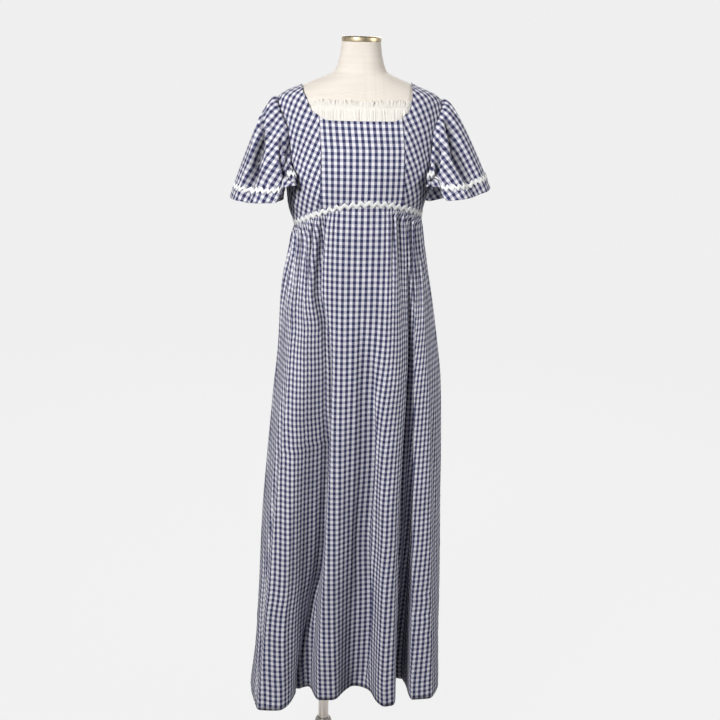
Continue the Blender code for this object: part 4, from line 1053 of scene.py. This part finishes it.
def between(tree, value, low, high, to_low=0.0, to_high=1.0, kind="SMOOTHSTEP"):
    inputs = dict(enumerate((value, low, high, to_low, to_high)))
    return add_node(tree, "MapRange", inputs, interpolation_type=kind).outputs[0]


def point_value(tree, name):
    return add_node(tree, "Attribute", attribute_name=name).outputs["Fac"]


def bump(tree, shader, height, distance, strength):
    node = add_node(tree, "Bump", {"Distance": distance, "Strength": strength, "Height": height})
    tree.links.new(node.outputs[0], shader.inputs["Normal"])


def tint(tree, shader, colour, *shades):
    """A colour made lighter and darker by all of its shades."""
    shade = shades[0]
    for other in shades[1:]:
        shade = math_node(tree, "MULTIPLY", shade, other)
    grey = add_node(tree, "CombineColor", {0: shade, 1: shade, 2: shade}).outputs[0]
    tree.links.new(blend(tree, 1.0, colour, grey, "MULTIPLY"), shader.inputs["Base Color"])


def woven_group():
    """A plain weave: which thread lies on top, how high it stands, and how each thread varies."""
    group = bpy.data.node_groups.new("plain weave", "ShaderNodeTree")
    for label, kind in (("Place", "NodeSocketVector"), ("Thread", "NodeSocketFloat")):
        group.interface.new_socket(label, in_out="INPUT", socket_type=kind)
    for label in ("Warp On Top", "Height", "Slub"):
        group.interface.new_socket(label, in_out="OUTPUT", socket_type="NodeSocketFloat")
    source = group.nodes.new("NodeGroupInput").outputs
    sink = group.nodes.new("NodeGroupOutput").inputs
    calc = partial(math_node, group)
    parts = add_node(group, "SeparateXYZ", {0: source["Place"]}).outputs
    places = [calc("DIVIDE", parts[axis], source["Thread"]) for axis in (0, 1)]
    column, row = (calc("FLOOR", place) for place in places)
    top = calc("FLOORED_MODULO", calc("ADD", column, row), 2.0)
    rounds = []
    for place in places:
        off = calc("SUBTRACT", calc("FRACT", place), 0.5)
        rounds.append(calc("SUBTRACT", 1.0, calc("MULTIPLY", 3.2, calc("MULTIPLY", off, off))))
    under = calc("MULTIPLY", calc("SUBTRACT", 1.0, top), row)
    thread = calc("ADD", calc("MULTIPLY", top, column), under)
    pair = add_node(group, "CombineXYZ", {0: thread, 1: calc("MULTIPLY", top, 7.0)}).outputs[0]
    slub = add_node(group, "TexWhiteNoise", {"Vector": pair}, noise_dimensions="2D").outputs["Value"]
    for label, value in (("Warp On Top", top), ("Height", calc("MULTIPLY", *rounds)), ("Slub", slub)):
        group.links.new(value, sink[label])
    return group


def new_material(name, inputs):
    """A material, its nodes and its shader, with some of the shader's inputs set."""
    material = bpy.data.materials.new(name)
    material.use_nodes = True
    tree = material.node_tree
    shader = tree.nodes["Principled BSDF"]
    for label, value in inputs.items():
        shader.inputs[label].default_value = value
    return material, tree, shader


def woven_cloth(name, weave, thread, inputs):
    """A new material of threads this thick, with its place on the cloth and its weave's outputs."""
    material, tree, shader = new_material(name, {"Specular IOR Level": 0.15, **inputs})
    place = add_node(tree, "UVMap", uv_map="cloth").outputs[0]
    woven = add_node(tree, "Group", {"Place": place, "Thread": thread}, node_tree=weave).outputs
    return material, tree, shader, place, woven


def gingham_material(weave):
    material, tree, shader, place, woven = woven_cloth(
        "navy gingham cotton", weave, CHECK / 30, {"Roughness": 0.9}
    )
    calc, graded = partial(math_node, tree), partial(between, tree)
    parts = add_node(tree, "SeparateXYZ", {0: place}).outputs
    repeats = (calc("FRACT", calc("DIVIDE", parts[axis], CHECK)) for axis in (0, 1))
    column, row = (calc("LESS_THAN", repeat, 0.5) for repeat in repeats)
    light_row = blend(tree, column, LIGHT_CHECK, COLUMN_CHECK)
    colour = blend(tree, row, light_row, blend(tree, column, ROW_CHECK, NAVY_CHECK))
    under = calc("SUBTRACT", 1.0, woven["Warp On Top"])
    dark = calc("ADD", calc("MULTIPLY", column, woven["Warp On Top"]), calc("MULTIPLY", row, under))
    off_line = calc("ABSOLUTE", calc("SUBTRACT", point_value(tree, "hem"), HEM_STITCHES))
    stitch = calc("LESS_THAN", calc("FRACT", calc("DIVIDE", parts[0], STITCH)), 0.72)
    sewn = calc("MULTIPLY", graded(off_line, 0.0003, 0.0008, 1.0, 0.0), stitch)
    tint(
        tree,
        shader,
        colour,
        graded(dark, 0.0, 1.0, 1.08, 0.90, "LINEAR"),
        graded(woven["Slub"], 0.0, 1.0, 0.90, 1.06),
        graded(noise(tree, place, 14.0, 3.0), 0.3, 0.7, 0.94, 1.04),
        # painted shade: the colour darkens near sewn edges, where the cloth turns into the seam
        graded(point_value(tree, "edge"), 0.0, SEAM_SHADE, 0.72, 1.0),
        # painted shade: the colour darkens where the cloth lies deep in its folds
        graded(point_value(tree, "hollow"), 0.0, 1.0, 1.0, 0.36, "LINEAR"),
        calc("SUBTRACT", 1.0, calc("MULTIPLY", sewn, 0.35)),
    )
    height = calc("ADD", noise(tree, place, 70.0, 3.0, 0.6), calc("MULTIPLY", woven["Height"], 0.06))
    bump(tree, shader, height, 0.0016, 0.8)
    return material


def plain_cloth_material(name, weave, colour, thread, roughness, crumple, depth):
    """A woven cloth of one colour, with its threads and a crumpled surface."""
    inputs = {"Roughness": roughness, "Sheen Weight": 0.05, "Sheen Roughness": 0.6}
    material, tree, shader, place, woven = woven_cloth(name, weave, thread, inputs)
    graded = partial(between, tree)
    tint(
        tree,
        shader,
        colour,
        graded(woven["Slub"], 0.0, 1.0, 0.93, 1.03),
        # painted shade between the threads: darker where a thread lies low
        graded(woven["Height"], 0.0, 1.0, 0.90, 1.02),
        graded(noise(tree, place, 9.0, 3.0), 0.3, 0.7, 0.96, 1.02),
    )
    raised = math_node(tree, "MULTIPLY", woven["Height"], 0.12)
    bump(tree, shader, math_node(tree, "ADD", noise(tree, place, crumple, 4.0, 0.65), raised), depth, 0.8)
    return material


def metal_material(name, colour, roughness, brushed=(1.0, 1.0, 40.0), mottled=0.0):
    """Metal with fine brushing and, where mottled, darker patina."""
    material, tree, shader = new_material(name, {"Roughness": roughness, "Metallic": 1.0})
    calc = partial(math_node, tree)
    place = add_node(tree, "TexCoord").outputs["Object"]
    inputs = {"Vector": place, "Scale": tuple(60.0 * size for size in brushed)}
    lines = noise(tree, add_node(tree, "Mapping", inputs).outputs[0], 1.0, 4.0, 0.7)
    patina = calc("MULTIPLY", between(tree, noise(tree, place, 45.0, 4.0, 0.6), 0.42, 0.68), mottled)
    tree.links.new(blend(tree, patina, colour, PATINA), shader.inputs["Base Color"])
    rough = calc("ADD", between(tree, lines, 0.2, 0.8, -0.08, 0.10), roughness)
    tree.links.new(calc("ADD", rough, calc("MULTIPLY", patina, 0.15)), shader.inputs["Roughness"])
    bump(tree, shader, lines, 0.0001, 0.3)
    return material


# The dress


def eased_neck(points):
    """A side front whose neck edge is drawn smooth."""
    edge = points[:NECK_ROWS, 0].copy()
    for _ in range(30):
        edge[1:-1] = edge[1:-1] / 2 + (edge[:-2] + edge[2:]) / 4
    across = np.linalg.norm(points[:NECK_ROWS] - points[:NECK_ROWS, :1], axis=-1)
    points = points.copy()
    points[:NECK_ROWS] += (edge - points[:NECK_ROWS, 0])[:, None] * np.exp(-across / 0.015)[..., None]
    return points


def build_bodice(gingham):
    sewn = ("start", "end", "bottom")
    points = draped_bodice(front_centre_chart())
    across, down = lay_out(points, 0.5)
    top = points[0, :, 2]
    lay = turned_grain(across, down + (top[0] - top)[None], 0.0, (CHECK / 4, 0.0))
    cloth_piece("front_centre", points, lay, gingham, sewn, (0.20, 0.21), 0.034)
    for side, name in ((1, "left"), (-1, "right")):
        points = eased_neck(draped_bodice(side_front_chart(side)))
        across, down = panel_layout(points, 9, 5, (60, 95))
        lay = turned_grain(across * side, down, side * SIDE_GRAIN, (0.004 * side, 0.003))
        cloth_piece(f"side_front_{name}", points, lay, gingham, sewn, (0.17, 0.34), 0.030, flip=side < 0)
        points = draped_bodice(back_chart(side))
        across, down = panel_layout(points, 9, 8, (9, 90))
        lay = turned_grain(across * -side, down, 0.0)
        cloth_piece(f"bodice_back_{name}", points, lay, gingham, sewn, (0.26, 0.32), 0.056, flip=side > 0)


def build_sleeve(side, name, gingham, braid):
    turns = sleeve_turns(SLEEVE_COLUMNS)[::side]
    shares = np.linspace(0, 1, SLEEVE_ROWS)[:, None] ** SLEEVE_CROWDING
    points = sleeve(side, turns[None], shares)
    top = int(np.argmin(np.abs(turns)))
    lay = turned_grain(*panel_layout(points, 8, 8, (8, 72), top), 0.0)
    # painted shade along the sleeve's folds
    hollow = sleeve_hollow(side, turns, shares)
    worn = {"held": "hung", "rests": (f"side_front_{name}_cloth",), "hollow": hollow}
    cloth_piece(f"sleeve_{name}", points, lay, gingham, ("top",), (0.63, 0.25), 0.068, **worn)
    over = np.linspace(0, 1, SLEEVE_BRAID_WAVES * BRAID_WAVE_STEPS + 1)
    turns = np.interp(over, np.linspace(0, 1, SLEEVE_COLUMNS), turns)
    shares = np.linspace(0, 1, SLEEVE_PATH_ROWS)
    whole = lay_out(plain_sleeve(side, turns[None], shares[:, None]))[1]
    middle = np.maximum(whole[-1] - BRAID_ABOVE_HEM, BRAID_FROM_ARMHOLE) + zigzag(over * SLEEVE_BRAID_WAVES)
    rows = []
    for t in np.linspace(-1, 1, BRAID_ACROSS):
        share = [np.interp(at + t * BRAID_HALF, down, shares) for at, down in zip(middle, whole.T)]
        rows.append(sleeve(side, turns, np.array(share), braid_out(t)))
    add_braid(f"sleeve_braid_{name}", np.array(rows), braid)


def zigzag(waves):
    """A rickrack's middle line, with rounded points."""
    return BRAID_SWING * np.arcsin(0.95 * np.sin(2 * np.pi * waves)) / np.arcsin(0.95)


def braid_out(t):
    return WALL / 2 + 0.0007 + 0.0008 * np.sqrt(max(0.0, 1 - t * t))


def add_braid(node, points, material):
    piece = mesh_piece(f"{node}_cord", points, turned_grain(*lay_out(points), 0.0), material, 0.0010)
    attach(piece, "dress")
    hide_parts(node)
    return piece


def build_skirt(gingham):
    right_side, left_side = ((KNOTS[2 * fold] + KNOTS[2 * fold + 1]) / 2 for fold in (FIRST_SIDE, LEFT_SIDE))
    for name, first, last, count, zip_at, cut, area in (
        ("skirt_front", right_side, left_side, 431, None, (0.92, 1.22), 0.76),
        ("skirt_back_left", left_side, CENTRE_BACK_PLACE, 241, "end", (0.50, 1.18), 0.40),
        ("skirt_back_right", CENTRE_BACK_PLACE, right_side + 1, 241, "start", (0.50, 1.18), 0.38),
    ):
        points = skirt_grid(first, last, count, zip_at)
        origin = (CENTRE_FRONT_PLACE - first) / (last - first) if zip_at is None else (zip_at == "end") * 1.0
        angles = angle_at(np.linspace(first, last, count))
        from_middle = np.abs(angles if zip_at is None else angles - 180)
        across = fanned(points, 0.03 + ramp(from_middle, 14, 34), origin)
        level = (SEAM_FRONT_HEIGHT - points[0, :, 2])[None] + lay_out(points)[1]
        lay = turned_grain(across, level, 0.0, (CHECK / 4, 0.0))
        # painted shade in the skirt's deep valleys
        hollow = 0.75 * skirt_hollow(angles, SKIRT_SHARES[:, None])
        worn = {"held": "gathered", "rests": ("front_centre_cloth",), "hollow": hollow}
        cloth_piece(name, points, lay, gingham, ("top", "start", "end"), cut, area, **worn)


def over_seam(angle, down, out):
    above = bodice(angle, seam_height(angle) + np.maximum(-down, 0), out)
    share = np.maximum(down, 0) / (seam_height(angle) - HEM_HEIGHT)
    below = skirt(place_of_angle(angle), share, out)
    return np.where((down > 0)[..., None], below, above)


def build_waist_braid(braid):
    end = 180 - math.degrees((ZIP_HALF + 0.0012) / half_width(1.292))
    count = WAIST_BRAID_WAVES * BRAID_WAVE_STEPS + 1
    angles = np.linspace(-end, end, count)
    middle = zigzag(np.linspace(0, WAIST_BRAID_WAVES, count)) - BRAID_RISE
    strips = np.linspace(-1, 1, BRAID_ACROSS)
    rows = [over_seam(angles, middle + t * BRAID_HALF, braid_out(t)) for t in strips]
    add_braid("waist_braid", np.array(rows), braid)


def build_zip(tape):
    """The zip's tape with its two rows of coiled teeth, which mesh down the middle."""
    foot = seam_height(180.0) - ZIP_FOOT_HEIGHT
    down = np.arange(seam_height(180.0) - BACK_NECK[0][1], foot, 0.0004)[:, None]
    middle = over_seam(180.0 + 0 * down[:, 0], down[:, 0], 0.0)
    middle[1:-1] = (middle[:-2] + middle[1:-1] + middle[2:]) / 3
    off = np.linspace(-ZIP_HALF + 0.0003, ZIP_HALF - 0.0003, 15)[None]
    coil = bell(np.abs(off) - 0.0008, 0.0006)
    teeth = 0.5 + 0.5 * np.sin(2 * np.pi * down / 0.0016 + np.pi * (off > 0))
    rise = coil * (0.00025 + 0.00045 * teeth)
    points = middle[:, None] + np.stack([off + 0 * rise, rise, 0 * rise], axis=-1)
    lay = turned_grain(off + 0 * down, down + 0 * off, 0.0)
    piece = mesh_piece("zip_tape", points, lay, tape, 0.0006, flip=True)
    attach(piece, "dress")
    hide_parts("zip_chain")


def build_inset(cotton):
    """A casing of crinkled cotton: a frill above the gathering stitches, and puckers below them."""
    middle = slip(INSET_LINE_HEIGHT)
    x = np.linspace(-INSET_HALF_WIDTH, INSET_HALF_WIDTH, INSET_COLUMNS) + middle
    edge = np.interp(np.abs(x - middle), *columns(NECK_CURVE))
    bottom = np.minimum(edge - 0.008, INSET_LINE_HEIGHT - 0.006)
    free = ramp(INSET_HALF_WIDTH - np.abs(x - middle), 0.004, 0.020)
    rows = []
    for share in np.linspace(0, 1, INSET_ROWS):
        height = INSET_TOP_HEIGHT + (bottom - INSET_TOP_HEIGHT) * share
        below = INSET_LINE_HEIGHT - height
        line = bell(below, 0.0016)
        frill = ramp(-below, 0.001, 0.012)
        hang = ramp(below, 0.001, 0.010) * (1 - 0.6 * ramp(edge - height, -0.004, 0.004))
        lean = x + 0.12 * below * waver(x, 0.030, 6)
        strong = 0.65 + 0.35 * waver(x, 0.024, 9)
        swing = 0.0020 * frill * waver(lean, 0.0078, 3) + 0.0016 * hang * waver(lean, 0.0088, 5)
        fine = 0.0005 * waver(lean, 0.0046, 8) * (frill + hang)
        out = 0.0019 + 0.0013 * (frill + hang) - 0.0009 * line + (swing * strong + fine) * free
        top = 0.0026 * (waver(x, 0.0105, 4) - 0.35) * ramp(-below, 0.003, 0.0135) * free
        rows.append(off_skin(front_angle(x, height), height + top, np.maximum(out, 0.0007)))
    points = np.array(rows)
    piece = mesh_piece("neck_inset_cloth", points, turned_grain(*lay_out(points, 0.5), 0.0), cotton, 0.0007)
    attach(piece, "dress")
    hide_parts("neck_inset")


# The form and its stand


def turned(name, node, profile, material, x=0.0, soften=0.0):
    """A round piece drawn up ring by ring from a disc at its foot, as radius and height."""
    bpy.ops.object.select_all(action="DESELECT")
    radius, height = profile[0]
    bpy.ops.mesh.primitive_circle_add(vertices=96, radius=radius, fill_type="NGON", location=(x, 0, height))
    piece = bpy.context.object
    piece.name = name
    bpy.ops.object.mode_set(mode="EDIT")
    bpy.ops.mesh.select_mode(type="FACE")
    bpy.ops.mesh.select_all(action="SELECT")
    for (before, low), (after, high) in zip(profile, profile[1:]):
        bpy.ops.mesh.extrude_region_move(TRANSFORM_OT_translate={"value": (0, 0, high - low)})
        bpy.ops.transform.resize(value=(after / before, after / before, 1), center_override=(x, 0, high))
    bpy.ops.mesh.select_all(action="SELECT")
    bpy.ops.mesh.normals_make_consistent(inside=False)
    bpy.ops.object.mode_set(mode="OBJECT")
    bpy.ops.object.transform_apply(location=True, rotation=True, scale=True)
    if soften:
        bevel = piece.modifiers.new("soft edges", "BEVEL")
        bevel.width = soften
        bevel.segments = 3
        bevel.limit_method = "ANGLE"
        bevel.angle_limit = math.radians(50)
        bpy.ops.object.modifier_apply(modifier=bevel.name)
    bpy.ops.object.shade_smooth_by_angle(angle=math.radians(32))
    piece.data.materials.append(material)
    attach(piece, "dress")
    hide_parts(node)
    return piece


def build_stand(brass, steel, plate):
    foot = NECK_TOP + GAP + LIFT
    cap = [(CAP_RADIUS - inside, foot + above) for inside, above in CAP]
    turned("neck_cap_brass", "neck_cap", cap, brass, BODY_X, 0.0004)
    top = FORM_FOOT + LIFT - 2 * GAP
    pole = [(POLE_RADIUS, height) for height in (POLE_FOOT + GAP, 0.4, 0.7, top)]
    turned("stand_pole_steel", "stand_pole", pole, steel, 0.0, 0.0005)
    radii, heights = columns(BASE_SIDE)
    along = np.arange(len(radii))
    fine = np.linspace(0, along[-1], 3 * along[-1] + 1)
    side = zip(smooth(along, radii, fine), smooth(along, heights, fine))
    bore = [(POLE_BORE, BASE_SIDE[-1][1]), (POLE_BORE, POLE_FOOT)]
    turned("stand_base_plate", "stand_base", [*side, *bore], plate)


def build_form(linen):
    heights = np.concatenate([np.linspace(FORM_FOOT, 1.53, 90), np.linspace(1.533, NECK_TOP, 80)])[::-1]
    angles = np.linspace(0, 360, 181)
    points = skin(angles[None], heights[:, None])
    normals = normals_of(points, closed=True)
    groove = 0 * points[..., 0]
    for seam in (0, 180, 360):
        groove = groove + 0.0007 * bell((angles[None] - seam) * FORM_DEGREE, 0.0015)
    groove = groove + 0.0006 * bell(heights[:, None] - FORM_COLLAR_SEAM, 0.0016)
    points = points - normals * groove[..., None]
    mesh = mesh_piece("form", points, turned_grain(*lay_out(points), 0.0), linen, 0.0)
    bpy.ops.object.select_all(action="DESELECT")
    mesh.select_set(True)
    bpy.context.view_layer.objects.active = mesh
    bpy.ops.object.mode_set(mode="EDIT")
    bpy.ops.mesh.select_all(action="SELECT")
    bpy.ops.mesh.remove_doubles(threshold=0.00002)
    bpy.ops.mesh.select_all(action="DESELECT")
    bpy.ops.mesh.select_non_manifold()
    bpy.ops.mesh.edge_face_add()
    bpy.ops.object.mode_set(mode="OBJECT")
    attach(mesh, "dress")
    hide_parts("dress_form")


def set_camera():
    forward = Vector(VIEW_WAY).normalized()
    level = Vector((forward.y, -forward.x, 0)).normalized()
    upright = level.cross(forward)
    roll = math.radians(VIEW_ROLL)
    right = level * math.cos(roll) + upright * math.sin(roll)
    up = upright * math.cos(roll) - level * math.sin(roll)
    data = bpy.data.cameras.new("camera")
    data.sensor_width = 36
    data.lens = VIEW_LENS
    camera = add_object("camera", data)
    turned_to = Matrix((right, up, -forward)).transposed().to_4x4()
    camera.matrix_world = Matrix.Translation(VIEW_PLACE) @ turned_to
    bpy.context.scene.camera = camera


def area_light(name, place, target, size, watts):
    data = bpy.data.lights.new(name, "AREA")
    data.shape = "DISK"
    data.size = size
    data.energy = watts
    light = add_object(name, data)
    light.location = place
    light.rotation_euler = (Vector(target) - Vector(place)).to_track_quat("-Z", "Y").to_euler()


def set_studio():
    scene = bpy.context.scene
    scene.view_settings.view_transform = "Standard"
    world = bpy.data.worlds.new("studio")
    scene.world = world
    world.use_nodes = True
    background = world.node_tree.nodes["Background"]
    background.inputs["Color"].default_value = WORLD_GREY
    background.inputs["Strength"].default_value = WORLD_STRENGTH
    for light in LIGHTS:
        area_light(*light)
    glow = {"Emission Color": FLOOR_GLOW, "Emission Strength": 1.0}
    matt = {"Base Color": FLOOR_GREY, "Roughness": 1.0, "Specular IOR Level": 0.0}
    material = new_material("pale floor", {**matt, **glow})[0]
    bpy.ops.object.select_all(action="DESELECT")
    place = (0, 0, FLOOR_HEIGHT)
    bpy.ops.mesh.primitive_circle_add(vertices=96, radius=FLOOR_RADIUS, fill_type="NGON", location=place)
    floor = bpy.context.object
    floor.name = "floor"
    bpy.ops.object.mode_set(mode="EDIT")
    bpy.ops.mesh.select_mode(type="EDGE")
    bpy.ops.mesh.select_all(action="SELECT")
    bpy.ops.mesh.region_to_loop()
    bpy.ops.mesh.extrude_region_move(TRANSFORM_OT_translate={"value": (0, 0, FLOOR_RADIUS)})
    bpy.ops.object.mode_set(mode="OBJECT")
    floor.data.materials.append(material)
    floor.visible_diffuse = False


def main():
    weave = woven_group()
    gingham = gingham_material(weave)
    cotton, braid, linen, tape = (
        plain_cloth_material(name, weave, *look)
        for name, *look in (
            ("crinkled off-white cotton", (0.87, 0.835, 0.775), 0.00045, 0.9, 160.0, 0.0013),
            ("white rickrack braid", (0.93, 0.93, 0.92), 0.0009, 0.8, 300.0, 0.0003),
            ("natural linen", (0.80, 0.735, 0.66), 0.0007, 0.92, 120.0, 0.0005),
            ("navy zip tape", (0.035, 0.040, 0.095), 0.0005, 0.6, 300.0, 0.0002),
        )
    )
    set_camera()
    set_studio()
    build_bodice(gingham)
    for side, name in ((1, "left"), (-1, "right")):
        build_sleeve(side, name, gingham, braid)
    build_skirt(gingham)
    build_waist_braid(braid)
    build_inset(cotton)
    build_form(linen)
    build_zip(tape)
    brass = metal_material("antique brass", (0.42, 0.34, 0.22), 0.38, mottled=0.75)
    steel = metal_material("brushed steel", (0.55, 0.51, 0.47), 0.32)
    plate = metal_material("satin steel plate", (0.30, 0.28, 0.26), 0.45, (40.0, 40.0, 1.0))
    nickel = metal_material("worn nickel", (0.34, 0.33, 0.31), 0.55, mottled=0.35)
    build_stand(brass, steel, plate)
    for node, material in (("pole_socket", steel), ("zip_slider", nickel), ("zip_pull", nickel)):
        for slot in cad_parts[node].material_slots:
            slot.material = material


main()
